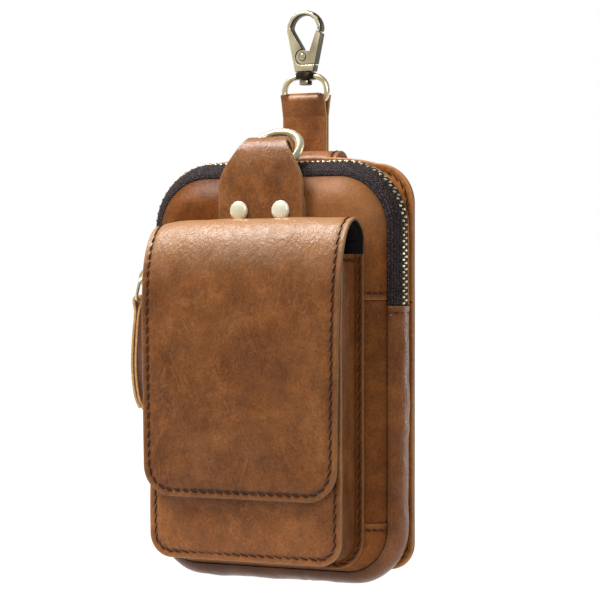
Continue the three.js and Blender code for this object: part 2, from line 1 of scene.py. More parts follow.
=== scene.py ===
import math
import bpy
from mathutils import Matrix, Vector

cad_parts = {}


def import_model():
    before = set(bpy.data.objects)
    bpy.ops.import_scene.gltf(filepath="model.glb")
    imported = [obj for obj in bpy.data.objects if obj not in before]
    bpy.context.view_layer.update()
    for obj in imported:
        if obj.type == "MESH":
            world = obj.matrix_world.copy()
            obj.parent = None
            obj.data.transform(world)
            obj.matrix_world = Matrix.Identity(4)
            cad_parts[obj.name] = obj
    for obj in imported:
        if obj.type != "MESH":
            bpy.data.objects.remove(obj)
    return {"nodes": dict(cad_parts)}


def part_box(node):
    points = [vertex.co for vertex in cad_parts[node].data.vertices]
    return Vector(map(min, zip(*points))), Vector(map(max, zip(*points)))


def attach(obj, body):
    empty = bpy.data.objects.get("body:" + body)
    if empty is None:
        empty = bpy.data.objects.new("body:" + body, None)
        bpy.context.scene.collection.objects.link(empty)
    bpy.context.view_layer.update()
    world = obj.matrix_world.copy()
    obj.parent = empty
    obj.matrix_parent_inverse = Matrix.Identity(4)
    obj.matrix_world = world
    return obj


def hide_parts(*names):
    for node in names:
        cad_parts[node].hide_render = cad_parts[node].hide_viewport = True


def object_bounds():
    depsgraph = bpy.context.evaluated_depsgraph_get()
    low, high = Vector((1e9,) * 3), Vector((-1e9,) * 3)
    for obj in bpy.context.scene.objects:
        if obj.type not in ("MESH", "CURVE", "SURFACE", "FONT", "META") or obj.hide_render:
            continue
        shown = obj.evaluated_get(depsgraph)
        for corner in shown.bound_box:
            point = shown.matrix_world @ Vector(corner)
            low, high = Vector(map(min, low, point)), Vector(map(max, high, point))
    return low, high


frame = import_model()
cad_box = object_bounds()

from types import SimpleNamespace as Sizes

import bmesh
import bpy
import numpy as np
from mathutils import Vector, noise

# Sizes are in millimetres in the bag's frame: x across from the middle, y backwards and z up,
# with zero near the bottom of the front seam
MM = 0.001
GAP = 0.3
LEATHER = 1.6
THIN_LEATHER = 1.2
TAPE = 1.0
LINING = 0.9
# Rounding of cut edges: outer face, crisp outer face, inner face, front panels, ends of the bulging edge
OUTER_ROUND = 0.6
CRISP_ROUND = 0.3
INNER_ROUND = 0.3
PANEL_ROUND = 0.5
END_ROUND = 0.4
# Rows of points near an edge, by distance from it
EDGE_PLACES = np.array([0, 0.12, 0.35, 0.7, 1.2, 1.8, 2.4, 3.0, 3.7])
# Step where the leather is hidden, and the least step between rows
COARSE_STEP = 2.5
CLOSEST_ROWS = 0.06
# Steps round a corner and round an arc
CORNER_STEPS = 14
ARC_STEPS = 24
# Most of a length that the rows near one end take
END_SHARE = 0.4
# Height of the small waves in a face, as a share of the large ones
SMALL_WAVES = 0.3
# How far apart in the noise two seeds are
SEED_SHIFT = 17.3
# Sizes of the large and small waves in a strip and in the bulging edge, and their seeds
STRIP_WAVES = Sizes(size=22, small=8, small_seed=3)
EDGE_WAVES = Sizes(size=14, seed=21, small=5, small_seed=9)
# Wrinkles across a strip: size, height, seed and stretch
WRINKLES = (3.6, 0.12, 6, (1, 1, 3))

# Main compartment
FRONT = Sizes(half=52.5, bottom=6, top=167, bottom_radius=18, top_radius=22)
BACK = Sizes(half=57.8, bottom=6, top=172.6, bottom_radius=11, top_radius=17, stitch_past=1)
BACK_FRONT_Y = 15.3
BACK_THICKNESS = 2
BACK_CROWN = Sizes(height=3.1, from_z=140)
SEAM_Y = 1
SEAM_TURN = Sizes(depth=1.2, reach=0.5)
PANEL = Sizes(rise=6, shoulder=12, calm=8)
# Waves in the front panels: size, height, seed
PANEL_WAVES = [(24, 0.55, 11), (6, 0.12, 4)]
LAP = Sizes(upper_z=116.5, lower_z=26.5, under=6, dip=4, inset=2.7, pitch=2.6, end=0.8, points=160, soil=0.3)
# Painted sheen on the upper panel, paler towards its top right: x and z over which it starts
UPPER_SHEEN = Sizes(x=(-25, 10), z=(130, 152))
# Painted light on the front panels: lighter to the right and darker to the left, by this share at their sides
PANEL_PAINTED_LIGHT = 0.12
EDGE_DEPTH = 14
EDGE_REAR_STEP = 1.5
BULGE = Sizes(side=4.5, top=5.8, bottom=4.8)
ZIP_END_Z = 114.5
# Shares of the edge's depth that each piece covers, front seam 0 to back panel 1
EDGE_SHARE = {
    "gusset": (0.0, 0.998),
    "tape_front": (0.0, 0.42),
    "tape_rear": (0.432, 0.66),
    "facing": (0.675, 0.998),
}
GUSSET = Sizes(joint_x=14, hem=2.9, hem_pitch=3.6, hem_angles=(0.5, 2.6), hem_points=30)
# Stitches that hold the zip's end: distances in from the back panel's edge, and height over the end
TACK = Sizes(insets=(3.4, 1.7, 0.2), rise=1)
CHAIN_SHARE = 0.425
CHAIN_PROUD = 1
TOOTH = Sizes(pitch=2.5, out=-0.12, mesh=1.75, round=0.16, share_ahead=0.02)
# A zip tooth from the tape to its head: depth across the chain, half length along it, half height
TOOTH_ROWS = [(0.1, 0.44, 0.4), (0.6, 0.5, 0.52), (1.2, 0.42, 0.42), (1.9, 0.36, 0.3)]
TOOTH_CORNERS = [(-1, -1), (1, -1), (1, 1), (-1, 1)]

# Front pocket and flap
PLATE = Sizes(half=45.6, bottom=10.2, radius=13, back=-5.3)
POCKET = Sizes(half=43.2, bottom=11.2, radius=9.5, gusset_top=135, front_top=128, overhang=0.4)
POCKET_FRONT_Y = -23.4
POCKET_BELLY = Sizes(depth=0.9, starts=(0, 16), fades=(40, 90))
# Distances up the pocket's front where its stitches end and where the flap hides it
POCKET_STITCHED_TO = 60
POCKET_SEEN_TO = 62
FLANGE = Sizes(width=3, inset=1.6, stitch_end=0.5, stitch_proud=0.1)
POCKET_HEM = Sizes(inset=2.6, pitch=3.4, past_flange=0.5, front_margin=1, points=20)
# The pocket's side, from its flange to its front: out of its outline, y from the flange's face
POCKET_SECTION = [
    (FLANGE.width, 0), (0.9, 0), (0.25, -0.35), (0, -1.2), (-0.9, -4.5), (-1.0, -8.5), (-0.4, -11.5),
]
# Soft sag of the pocket's side, which starts past the flange and ends at the front
POCKET_SAG = Sizes(size=16, height=0.9, seed=5, start=4, over=3)
POCKET_SMALL_WAVES = (5, 0.12, 8)
FLAP = Sizes(top_half=45.4, bottom_half=43.7, radius=13, bottom=36.4, crown=1.1)
FLAP_FRONT_Y = -28.6
# Outer face of the flap, up the front, over the fold and down the plate: y, z
FLAP_PATH = [
    (FLAP_FRONT_Y, FLAP.bottom), (FLAP_FRONT_Y, 60), (FLAP_FRONT_Y, 88), (-28.4, 108), (-27.9, 121),
    (-26.4, 131.5), (-23.6, 140.8), (-19.2, 147.3), (-13.5, 149.6), (-7.6, 146.3), (-5.4, 142.6),
    (PLATE.back, 138), (PLATE.back, 100), (PLATE.back, PLATE.bottom),
]
# Stitches this near to the side line are on it
SIDE_MARGIN = 0.01
# Distances from the top of the fold, along the leather
FOLD = Sizes(widens=4, widens_over=8, stitched_to=3, hidden_from=14, creased=(2, 8), smooth=(14, 34))
# Paler band just below the top of the fold, partly stretched leather and partly painted highlight: most,
# distance before the top, width
FOLD_PALE_AND_SHEEN = Sizes(most=0.62, before=6, width=13)
FOLD_LINING = Sizes(above_z=140.2, inset=0.4)
# How the fold's left end sinks
DROOP = Sizes(past_x=26, over=18, most=1.2, above_z=118, rise=25, depth=2.3)

# Tab and ring
TAB = Sizes(half=19.3, fold_half=8.5, taper=25, rear_narrow=9)
# Outer face of the tab, up the front layer, over the ring and down the rear layer: y, z
TAB_PATH = [
    (-8.9, 148.4), (-8.9, 160), (-8.5, 168), (-7.6, 175), (-5.8, 180.4), (-2.2, 183.4), (2.2, 182.4),
    (5, 178.6), (4.3, 174.6), (1.5, 170.3), (-2.2, 165.6), (-5, 160.6), (-5.3, 157), (-5.3, 148.4),
]
TAB_CREASE = Sizes(most=0.7, width=16)
TAB_RUB = Sizes(most=0.15, before=4, width=8)
RING = Sizes(radius=11.4, wire=1.8, near_y=-4.4, near_z=169.8, lean_deg=46, steps=72, sides=16)

# Belt loop and hook strap
BELT_LOOP = Sizes(half=21.5, thickness=2.2, front_y=17.6, rear_y=31.5, stitch_inset=2.6)
BELT_LOOP_Z = Sizes(front_end=128, roll=171.8, rear_end=56)
# Where the belt loop comes back to the bag, as a share of the way out to its rear layer, and z
BELT_LANDING = [(1, 92), (0.91, 86), (0.5, 79), (0.09, 73), (0, 68)]
# Where its side stitches start before the roll, and the end of its cross stitches from the side ones
BELT_STITCHES = Sizes(before_roll=2, side_gap=1.5, points=50)
STRAP = Sizes(half=10.2, notch_half=7.0, thickness=1.5, front_y=31.8, bottom=138, gather=7)
STRAP_TAIL = Sizes(radius=2.5, inset=2.2, height=26)
# The strap's half width grows between these distances from the top of its fold
STRAP_NOTCH = (1.2, 2.0)
# The strap's corners at its fold: height for each millimetre of leather, lean outwards, x where they start
STRAP_FLARE = Sizes(stretch=0.75, lean=0.36, edge=(7.0, 7.9))
HOOK_Y = STRAP.front_y + STRAP.thickness + GAP / 2
BAR_Z = 201
LOOP_WIRE = 1.35
RUNNING_GAP = 0.45
STRAP_OUTER = LOOP_WIRE + RUNNING_GAP + STRAP.thickness
# Collar of the hook's loop and top of the hook's slot, in the part's frame
COLLAR = Sizes(radius=4.6, bottom=-27.6)
HOOK_SLOT_Z = -14
# Edges sharper than this are rounded, and those by the slot to a share of the width
HARD_EDGE_DEG = 30
FINE_SHARE = 0.25
# A face of the hook is flat when more of its normal than this is along y
FLAT_SHARE = 0.75
# Corners of a CAD node that are one, in metres, and faces of it that are one flat
SAME_PLACE = 1e-6
SAME_FLAT_DEG = 1

# Zip pull
SLIDER = Sizes(z=125.5, thickness=3.2, bail=3.6, bail_wire=0.9)
LINK = Sizes(wire=0.75, half_length=5, lean_deg=14)
PULL = Sizes(half=2.4, thickness=1.4)
# Middle of the doubled pull, out from and below the wire that it is folded round
PULL_MIDDLE = [(-2.0, -46), (0.3, -41), (1.8, -29), (1.3, -15), (0.3, -5)]

# Stitching
STITCH = Sizes(pitch=3.9, radius=0.25, slant_deg=-15, sunk=0.12, sides=6)
STITCH_INSET = 2.8
STITCH_STEP = 0.8
# A stitch from end to end, in equal steps: rise from the leather, share of the thread's radius
STITCH_PROFILE = [(-0.3, 0.6), (0.04, 0.95), (0.12, 1), (0.04, 0.95), (-0.3, 0.6)]
# Width, dent and soil of a sewn line and of the holes in it
SEWN_LINE = Sizes(width=0.9, dent=0.26, soil=0.22)
SEWN_HOLE = Sizes(width=1.1, dent=0.34, soil=0.16)
SEAM_DENT = 0.25
# Widths of the dents along the pocket's seams, the gusset's hem and joint, and the laps
SEAM_WIDTH = Sizes(pocket=0.7, hem=0.8, joint=0.5, lap=0.9)
# Darkening of the pocket's side: overall, partly painted shade of a side turned from the key light; painted
# shade in the crevice past its flange; along its sewn seams; and the crevice's distance past the flange and
# width
POCKET_SOIL_AND_SHADE = Sizes(all_over=0.1, crevice=0.5, seams=0.2, crevice_past=0.4, crevice_width=1.0)
# Darkening of the gusset: overall, partly painted shade of a side turned from the key light; along its sewn
# hems; painted shade towards its edges, where it meets the panels, and underneath; along its joint; and how
# far a face must look down for the shade underneath to start
GUSSET_SOIL_AND_SHADE = Sizes(all_over=0.05, hem=0.3, edges=0.3, under=0.5, joint=0.4, under_from=0.3)
# Points along a sewn line for each stitch, and the tightest turn of a line
LINE_POINTS = 5
TIGHTEST_TURN = 0.1

# Camera that sees the object as the photograph does
PHOTO_PIXELS = 600
VIEW_AZIMUTH_DEG = 26.5
VIEW_DISTANCE = 900
VIEW_SCALE = 2.44
VIEW_TARGET = (13.9, 0, 116.4)
VIEW_RISE_PIXELS = 15
SENSOR_WIDTH = 36
CLIP_METRES = (0.05, 20)

# Height that the soft boxes look at
LIGHT_CENTRE_Z = 110
# Soft boxes in metres: their distance, and each one's direction from the bag, width and height, power
LIGHT_DISTANCE = 1.1
LIGHTS = {
    "top_left": {"from": (-0.42, -0.34, 0.84), "size": (0.5, 0.6), "watts": 22},
    "front_right": {"from": (0.5, -0.75, 0.45), "size": (0.5, 0.5), "watts": 3.5},
    "rim": {"from": (0.62, 0.78, 0.12), "size": (0.22, 0.8), "watts": 2.6},
}
# Floor: drop below the part and half width, in metres
FLOOR = Sizes(below=0.001, reach=6)

back_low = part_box("back_panel")[0]
BAG_ORIGIN = np.array([0, back_low.y - BACK_FRONT_Y * MM, back_low.z - BACK.bottom * MM])


def world(points):
    """Points of the bag's frame in metres, in the part's frame."""
    return np.asarray(points, float) * MM + BAG_ORIGIN


def unit(value):
    return np.clip(value, 0, 1)


def smoothstep(value, low, high):
    share = unit((value - low) / (high - low))
    return share**2 * (3 - 2 * share)


def fade(value, low, high):
    return smoothstep(-value, -high, -low)


def blend(first, second, share):
    return first + (second - first) * share


def bell(distance, width):
    return np.exp(-((distance / width) ** 2))


def near(distance, most, reach):
    return most * np.exp(-distance / reach)


def join(*axes):
    """Points from their coordinates."""
    return np.stack(np.broadcast_arrays(*axes), -1)


def normalised(vectors):
    return vectors / np.linalg.norm(vectors, axis=-1, keepdims=True)


def distances(points):
    """How far along a line each of its points is."""
    steps = np.linalg.norm(np.diff(points, axis=0), axis=1)
    return np.concatenate([[0], np.cumsum(steps)])


def table_at(places, along, table):
    """Rows of a table at places between its own."""
    return join(*(np.interp(places, along, column) for column in table.T))


# Materials


class Graph:
    """Shader nodes of a material or of the world."""

    MIX_COLOURS = (6, 7)
    MIX_RESULT = 2

    def __init__(self, tree):
        self.tree = tree

    def feed(self, socket, value):
        """Links a socket to another, or sets its value."""
        if isinstance(value, bpy.types.NodeSocket):
            self.tree.links.new(value, socket)
        else:
            socket.default_value = value

    def add(self, kind, settings=None, **inputs):
        made = self.tree.nodes.new("ShaderNode" + kind)
        for key, value in (settings or {}).items():
            setattr(made, key, value)
        for key, value in inputs.items():
            self.feed(made.inputs[key.replace("_", " ")], value)
        return made

    def work_out(self, kind, operation, *values):
        made = self.add(kind, {"operation": operation})
        for socket, value in zip(made.inputs, values):
            self.feed(socket, value)
        return made.outputs

    def maths(self, operation, *values):
        return self.work_out("Math", operation, *values)[0]

    def times(self, first, second):
        return self.maths("MULTIPLY", first, second)

    def without(self, value):
        return self.maths("SUBTRACT", 1.0, value)

    def ramp(self, value, *stops):
        """Colours or greys at some places along a value."""
        made = self.add("ValToRGB", Fac=value)
        elements = made.color_ramp.elements
        while len(elements) < len(stops):
            elements.new(0.5)
        for element, (place, colour) in zip(elements, stops):
            element.position = place
            element.color = (*colour, 1) if isinstance(colour, tuple) else (colour, colour, colour, 1)
        return made.outputs["Color"]

    def mix(self, factor, first, second, blend="MIX"):
        made = self.add("Mix", {"data_type": "RGBA", "blend_type": blend})
        self.feed(made.inputs[0], factor)
        for place, value in zip(self.MIX_COLOURS, (first, second)):
            self.feed(made.inputs[place], (*value, 1) if isinstance(value, tuple) else value)
        return made.outputs[self.MIX_RESULT]

    def white_in_view(self, light):
        """White where it is looked at, and a given brightness where it lights the bag."""
        looked_at = self.add("LightPath").outputs["Is Camera Ray"]
        return self.mix(looked_at, light, (1, 1, 1))


class Surface(Graph):
    """A material, with patterns that lie on the object."""

    def __init__(self, name):
        self.material = bpy.data.materials.new(name)
        self.material.use_nodes = True
        super().__init__(self.material.node_tree)
        self.tree.nodes.clear()
        self.shader = self.add("BsdfPrincipled")
        self.add("OutputMaterial", Surface=self.shader.outputs["BSDF"])
        self.place = self.coordinates()

    def set(self, **inputs):
        for key, value in inputs.items():
            self.feed(self.shader.inputs[key.replace("_", " ")], value)

    def coordinates(self, stretch=1, lean_deg=0):
        """Places on the object, with a pattern on them stretched upwards and leant over."""
        place = self.add("TexCoord").outputs["Object"]
        turn = (0, math.radians(lean_deg), 0)
        settings = {"vector_type": "TEXTURE"}
        made = self.add("Mapping", settings, Vector=place, Scale=(1, 1, stretch), Rotation=turn)
        return made.outputs["Vector"]

    def attribute(self, name):
        return self.add("Attribute", {"attribute_name": name}).outputs["Fac"]

    def noise(self, scale, detail=4, roughness=0.55, distortion=0.0, place=None, output="Fac"):
        made = self.add(
            "TexNoise", Vector=place or self.place, Scale=scale, Detail=detail, Roughness=roughness,
            Distortion=distortion,
        )
        return made.outputs[output]

    def cells(self, scale, place=None, feature="DISTANCE_TO_EDGE", randomness=1.0):
        settings = {"feature": feature}
        place = place or self.place
        made = self.add("TexVoronoi", settings, Vector=place, Scale=scale, Randomness=randomness)
        return made.outputs["Distance"]

    def threads(self, scale, distortion):
        settings = {"bands_direction": "DIAGONAL"}
        made = self.add("TexWave", settings, Vector=self.place, Scale=scale, Distortion=distortion)
        return made.outputs["Fac"]

    def ridges(self, place, scale, width, distortion):
        """Thin lines where a noise crosses its middle: 1 on the line, 0 away from it."""
        value = self.noise(scale, detail=3, roughness=0.5, distortion=distortion, place=place)
        away = self.maths("ABSOLUTE", self.maths("SUBTRACT", value, 0.5))
        return self.ramp(away, (0.0, 1), (width, 0))

    def tinted(self, base, shade):
        return self.mix(1.0, base, shade, "MULTIPLY")

    def bump(self, *heights):
        """Relief from heights, each with a strength and a depth in metres."""
        normal = {}
        for height, strength, depth in heights:
            made = self.add("Bump", Strength=strength, Distance=depth, Height=height, **normal)
            normal = {"Normal": made.outputs["Normal"]}
        self.set(**normal)


# Colour of leather that is stretched and rubbed, also the colour of painted sheen on the fold and the upper
# panel
PALE_WEAR_AND_SHEEN = (0.42, 0.22, 0.095)
# Pale scratches in leather: lean in degrees, scale
SCRATCHES = [(-32, 300), (18, 220)]


def leather_material(name, shades, rough, specular):
    """Waxed leather: cloudy colour, paler where it is stretched, with fine pores and creases."""
    made = Surface(name)
    deep, middle, pale = shades
    clouds = made.noise(27, detail=5, distortion=0.9)
    base = made.ramp(clouds, (0.3, deep), (0.5, middle), (0.72, pale))
    blotches = made.noise(170, detail=6, roughness=0.66, distortion=0.4)
    base = made.tinted(base, made.ramp(blotches, (0.3, 0.74), (0.7, 1.22)))
    pores = made.noise(1100, roughness=0.7)
    base = made.tinted(base, made.ramp(pores, (0.3, 0.64), (0.66, 1.22)))
    for lean_deg, scale in SCRATCHES:
        patches = made.ramp(made.noise(scale / 5, detail=2), (0.45, 0), (0.62, 0.34))
        lines = made.ridges(made.coordinates(4, lean_deg), scale, width=0.022, distortion=0.9)
        base = made.mix(made.times(lines, patches), base, tuple(1.4 * c for c in pale))
    creased = made.attribute("crease")
    wrinkles = made.times(made.ridges(made.coordinates(6), 430, width=0.1, distortion=0.25), creased)
    base = made.mix(made.times(wrinkles, 0.14), base, PALE_WEAR_AND_SHEEN)
    # Paler where the leather is worn and stretched, and painted sheen on the flap's fold and the upper
    # panel's top
    base = made.mix(made.attribute("wear"), base, PALE_WEAR_AND_SHEEN)
    # Darker along stitches and sewn seams, and painted shade under the gusset, in the pocket's crevice, at
    # the panels' seams, towards the gusset's edges and on sides turned from the key light
    base = made.mix(made.attribute("soil"), base, tuple(0.25 * c for c in deep))
    base = made.tinted(base, made.attribute("tone"))
    gloss = made.ramp(made.noise(150, detail=5), (0.3, rough - 0.07), (0.7, rough + 0.1))
    made.set(Base_Color=base, Roughness=gloss, Specular_IOR_Level=specular)
    swirl = made.noise(240, detail=2, roughness=0.5, output="Color")
    bent = made.mix(0.012, made.coordinates(2.2), swirl)
    grooves = made.ramp(made.cells(330, bent), (0.0, 1), (0.22, 0))
    grain = made.ramp(made.cells(780), (0.0, 0), (0.2, 1))
    made.bump(
        (made.without(made.times(grooves, creased)), 0.12, 0.0004),
        (made.noise(260, distortion=0.8), 0.14, 0.0012),
        (made.without(wrinkles), 0.2, 0.0005),
        (grain, 0.07, 0.0003),
        (made.noise(2600, detail=3), 0.05, 0.0003),
    )
    return made.material


def edge_material(name, dark, pale):
    """Cut edge of the leather: fibrous."""
    made = Surface(name)
    fibres = made.noise(900, detail=6, roughness=0.7)
    made.set(Base_Color=made.ramp(fibres, (0.3, dark), (0.7, pale)), Roughness=0.75)
    made.bump((fibres, 0.4, 0.0003))
    return made.material


def thread_material(name, dark, pale):
    """Waxed thread with its twist."""
    made = Surface(name)
    colour = made.ramp(made.noise(1500), (0.3, dark), (0.7, pale))
    made.set(Base_Color=colour, Roughness=0.6, Specular_IOR_Level=0.12)
    made.bump((made.threads(900, distortion=1.0), 0.5, 0.0002))
    return made.material


def tape_material(name, dark, pale):
    """Woven zip tape with paler threads that stand up from it."""
    made = Surface(name)
    knots = made.cells(1250, feature="F1", randomness=0.55)
    shade = made.ramp(made.noise(300, detail=3), (0.3, 0.7), (0.7, 1.25))
    colour = made.tinted(made.ramp(knots, (0.1, pale), (0.5, dark)), shade)
    made.set(Base_Color=colour, Roughness=0.72, Specular_IOR_Level=0.2)
    made.bump((made.without(knots), 0.8, 0.0006))
    return made.material


def lining_material(name, dark, pale):
    """Woven lining."""
    made = Surface(name)
    weave = made.threads(700, distortion=0.8)
    made.set(Base_Color=made.ramp(weave, (0.0, dark), (1.0, pale)), Roughness=0.85, Specular_IOR_Level=0.2)
    made.bump((weave, 0.4, 0.0002))
    return made.material


def brass_material(name, dark, pale, rough, metallic=1.0, specular=0.5):
    """Antique brass, clouded by patina."""
    made = Surface(name)
    patina = made.noise(80, detail=1, roughness=0.4)
    gloss = made.ramp(made.noise(140, detail=1), (0.3, rough - 0.05), (0.7, rough + 0.08))
    made.set(Base_Color=made.ramp(patina, (0.32, dark), (0.56, pale)), Roughness=gloss)
    made.set(Metallic=metallic, Specular_IOR_Level=specular)
    return made.material


TAN_SHADES = ((0.112, 0.034, 0.0066), (0.164, 0.0545, 0.0122), (0.24, 0.088, 0.0235))
SIDE_SHADES = ((0.120, 0.033, 0.0046), (0.164, 0.0485, 0.0076), (0.226, 0.073, 0.0134))
TAN = leather_material("tan_leather", TAN_SHADES, rough=0.35, specular=0.32)
SIDE_TAN = leather_material("tan_leather_dull", SIDE_SHADES, rough=0.45, specular=0.12)
GLOSS_TAN = leather_material("tan_leather_glossy", SIDE_SHADES, rough=0.25, specular=0.34)
EDGE = edge_material("waxed_edge", dark=(0.075, 0.033, 0.010), pale=(0.22, 0.11, 0.035))
PALE_EDGE = edge_material("raw_edge", dark=(0.30, 0.16, 0.050), pale=(0.62, 0.38, 0.15))
THREAD = thread_material("thread", dark=(0.018, 0.0085, 0.0052), pale=(0.046, 0.022, 0.0125))
WEAVE = tape_material("zip_tape_weave", dark=(0.012, 0.007, 0.007), pale=(0.1, 0.062, 0.063))
BLACK = lining_material("black_lining", dark=(0.004, 0.003, 0.003), pale=(0.014, 0.011, 0.010))
BRASS = brass_material("antique_brass", (0.50, 0.42, 0.25), (0.74, 0.65, 0.43), rough=0.28, metallic=0.75)
DARK_BRASS = brass_material(
    "dark_brass", (0.016, 0.012, 0.008), (0.075, 0.06, 0.034), rough=0.34, metallic=0.7, specular=0.15
)
PALE_BRASS = brass_material("pale_brass", (0.86, 0.78, 0.54), (0.97, 0.92, 0.70), rough=0.26, metallic=0.5)
TEETH = brass_material("tooth_brass", (0.42, 0.34, 0.18), (0.82, 0.74, 0.52), rough=0.3)


# Meshes


def in_scene(name, data):
    made = bpy.data.objects.new(name, data)
    bpy.context.scene.collection.objects.link(made)
    return made


def place_piece(name, mesh, body, slot, nodes):
    """A piece that rides on a body and may stand for CAD nodes."""
    piece = in_scene(name, mesh)
    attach(piece, body)
    if nodes:
        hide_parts(*nodes)
    return piece


def add_piece(name, vertices, faces, materials, body, nodes=(), slot="leather", kinds=None, values=None):
    """A smooth-shaded mesh in the part's frame, with its faces' kinds of material and its points' values."""
    mesh = bpy.data.meshes.new(name)
    mesh.from_pydata([tuple(v) for v in vertices], [], [tuple(int(i) for i in f) for f in faces])
    for material in materials:
        mesh.materials.append(material)
    if kinds is not None:
        mesh.polygons.foreach_set("material_index", np.asarray(kinds, np.int32))
    for key, numbers in (values or {}).items():
        mesh.attributes.new(key, "FLOAT", "POINT").data.foreach_set("value", np.asarray(numbers, np.float32))
    work = bmesh.new()
    work.from_mesh(mesh)
    bmesh.ops.recalc_face_normals(work, faces=work.faces)
    work.to_mesh(mesh)
    work.free()
    mesh.polygons.foreach_set("use_smooth", [True] * len(mesh.polygons))
    mesh.update()
    return place_piece(name, mesh, body, slot, nodes)


def tube_faces(rings, sides, start=0, closed=False):
    """Faces of a tube from rings of points, with flat ends unless it closes on itself."""
    index = start + np.arange(rings * sides).reshape(rings, sides)
    ends = [] if closed else [index[0, ::-1], index[-1]]
    if closed:
        index = np.vstack([index, index[:1]])
    beside = np.roll(index, -1, 1)
    walls = np.stack([index[:-1], beside[:-1], beside[1:], index[1:]], -1).reshape(-1, 4)
    return [*walls, *ends]


# What each point of a sheet has, and its usual value
SHEET_VALUES = {"wear": 0, "soil": 0, "crease": 0, "tone": 1}


def sheet_piece(name, outer, inner, materials, nodes, slot="leather", **values):
    """A closed wall between two grids of points. Materials: outer face, inner face, cut edge."""
    rows, columns = outer.shape[:2]
    count = rows * columns
    index = np.arange(count).reshape(rows, columns)
    front = np.stack([index[:-1, :-1], index[:-1, 1:], index[1:, 1:], index[1:, :-1]], -1).reshape(-1, 4)
    back = (front + count)[:, ::-1]
    ring = np.concatenate([index[0], index[1:, -1], index[-1, -2::-1], index[-2:0:-1, 0]])
    following = np.roll(ring, -1)
    sides = np.stack([ring, ring + count, following + count, following], -1)
    kinds = [0] * len(front) + [1] * len(back) + [2] * len(sides)
    spread = {}
    for key, usual in SHEET_VALUES.items():
        numbers = np.broadcast_to(values.get(key, usual), (rows, columns)).reshape(-1)
        spread[key] = np.concatenate([numbers, numbers])
    vertices = world(np.concatenate([outer.reshape(-1, 3), inner.reshape(-1, 3)]))
    faces = np.concatenate([front, back, sides])
    return add_piece(name, vertices, faces, materials, "bag", nodes, slot, kinds, spread)


def ripple(points, size, height, seed, stretch=(1, 1, 1)):
    """Smooth uneven heights over points of the bag's frame."""
    flat = points.reshape(-1, 3) / (size * np.array(stretch)) + seed * SEED_SHIFT
    values = np.array([noise.noise(Vector(p)) for p in flat])
    return height * values.reshape(points.shape[:-1])


def waves(points, *rows):
    """Ripples on one another, each with a size, a height and a seed."""
    return sum(ripple(points, *row) for row in rows)


def curve_through(rows, step):
    """Points about a step apart on a smooth curve through the rows."""
    rows = np.asarray(rows, float)
    padded = np.vstack([2 * rows[0] - rows[1], rows, 2 * rows[-1] - rows[-2]])
    points = []
    for before, start, end, after in zip(padded, padded[1:], padded[2:], padded[3:]):
        span = np.linalg.norm(end - start)
        lead = (end - before) * span / (span + np.linalg.norm(start - before))
        trail = (after - start) * span / (span + np.linalg.norm(after - end))
        count = max(int(math.ceil(span / step)), 1)
        t = (np.arange(count) / count)[:, None]
        rising = 3 * t**2 - 2 * t**3
        points.append(
            (1 - rising) * start + rising * end + (t**3 - 2 * t**2 + t) * lead + (t**3 - t**2) * trail
        )
    return np.vstack([*points, rows[-1]])


def circle(count):
    return np.linspace(0, 2 * np.pi, count, endpoint=False)


def arc_points(centre, radius, from_deg, to_deg, steps):
    angles = np.radians(np.linspace(from_deg, to_deg, steps + 1))
    return join(centre[0] + radius * np.cos(angles), centre[1] + radius * np.sin(angles))


def straight(start, end, step=1.5):
    """Points along a straight line, without its end."""
    start, end = np.asarray(start, float), np.asarray(end, float)
    count = max(int(np.linalg.norm(end - start) / step), 1)
    return blend(start, end, (np.arange(count) / count)[:, None])


def spaced(length, step, coarse_from=None):
    """Places along a length, closer together at both ends and sparse past coarse_from."""
    close = EDGE_PLACES[EDGE_PLACES < END_SHARE * length]
    far = length - close[::-1]
    stops = [(far[0], step)]
    if coarse_from is not None:
        stops = [(coarse_from, step), (far[0], COARSE_STEP)]
    places = [close]
    for stop, size in stops:
        start = places[-1][-1]
        places.append(np.linspace(start, stop, max(int((stop - start) / size), 1) + 1)[1:])
    return np.concatenate([*places, far[1:]])


def rounding(distance, radius):
    """How far a round edge or corner falls away, by the distance from its end."""
    short = np.clip(radius - distance, 0, radius)
    return radius - np.sqrt(np.maximum(radius**2 - short**2, 0))


class Strip:
    """A strip of leather whose outer face follows a path in y and z, with outward to the path's left."""

    def __init__(self, path):
        self.path = np.asarray(path, float)
        self.along = distances(self.path)
        self.length = self.along[-1]
        tangent = normalised(np.gradient(self.path, self.along, axis=0))
        self.normal = join(-tangent[:, 1], tangent[:, 0])

    def row(self, along, table):
        return table_at(along, self.along, table)

    def at(self, x, along, out=0.0):
        normal = normalised(self.row(along, self.normal))
        yz = self.row(along, self.path) + normal * np.asarray(out)[..., None]
        return join(x, yz[..., 0], yz[..., 1])

    def normal_at(self, along):
        normal = self.row(along, self.normal)
        return join(0.0, normal[..., 0], normal[..., 1])


def border_distance(x, along, length, half, radii):
    """Distance of points of a strip from its nearest edge, with rounded corners at its ends."""
    side = half - np.abs(x)
    distance = np.minimum(side, np.minimum(along, length - along))
    for end, radius in zip((along, length - along), radii):
        corner = (side < radius) & (end < radius)
        from_arc = radius - np.hypot(np.maximum(radius - side, 0), np.maximum(radius - end, 0))
        distance = np.where(corner, np.minimum(distance, from_arc), distance)
    return np.maximum(distance, 0)


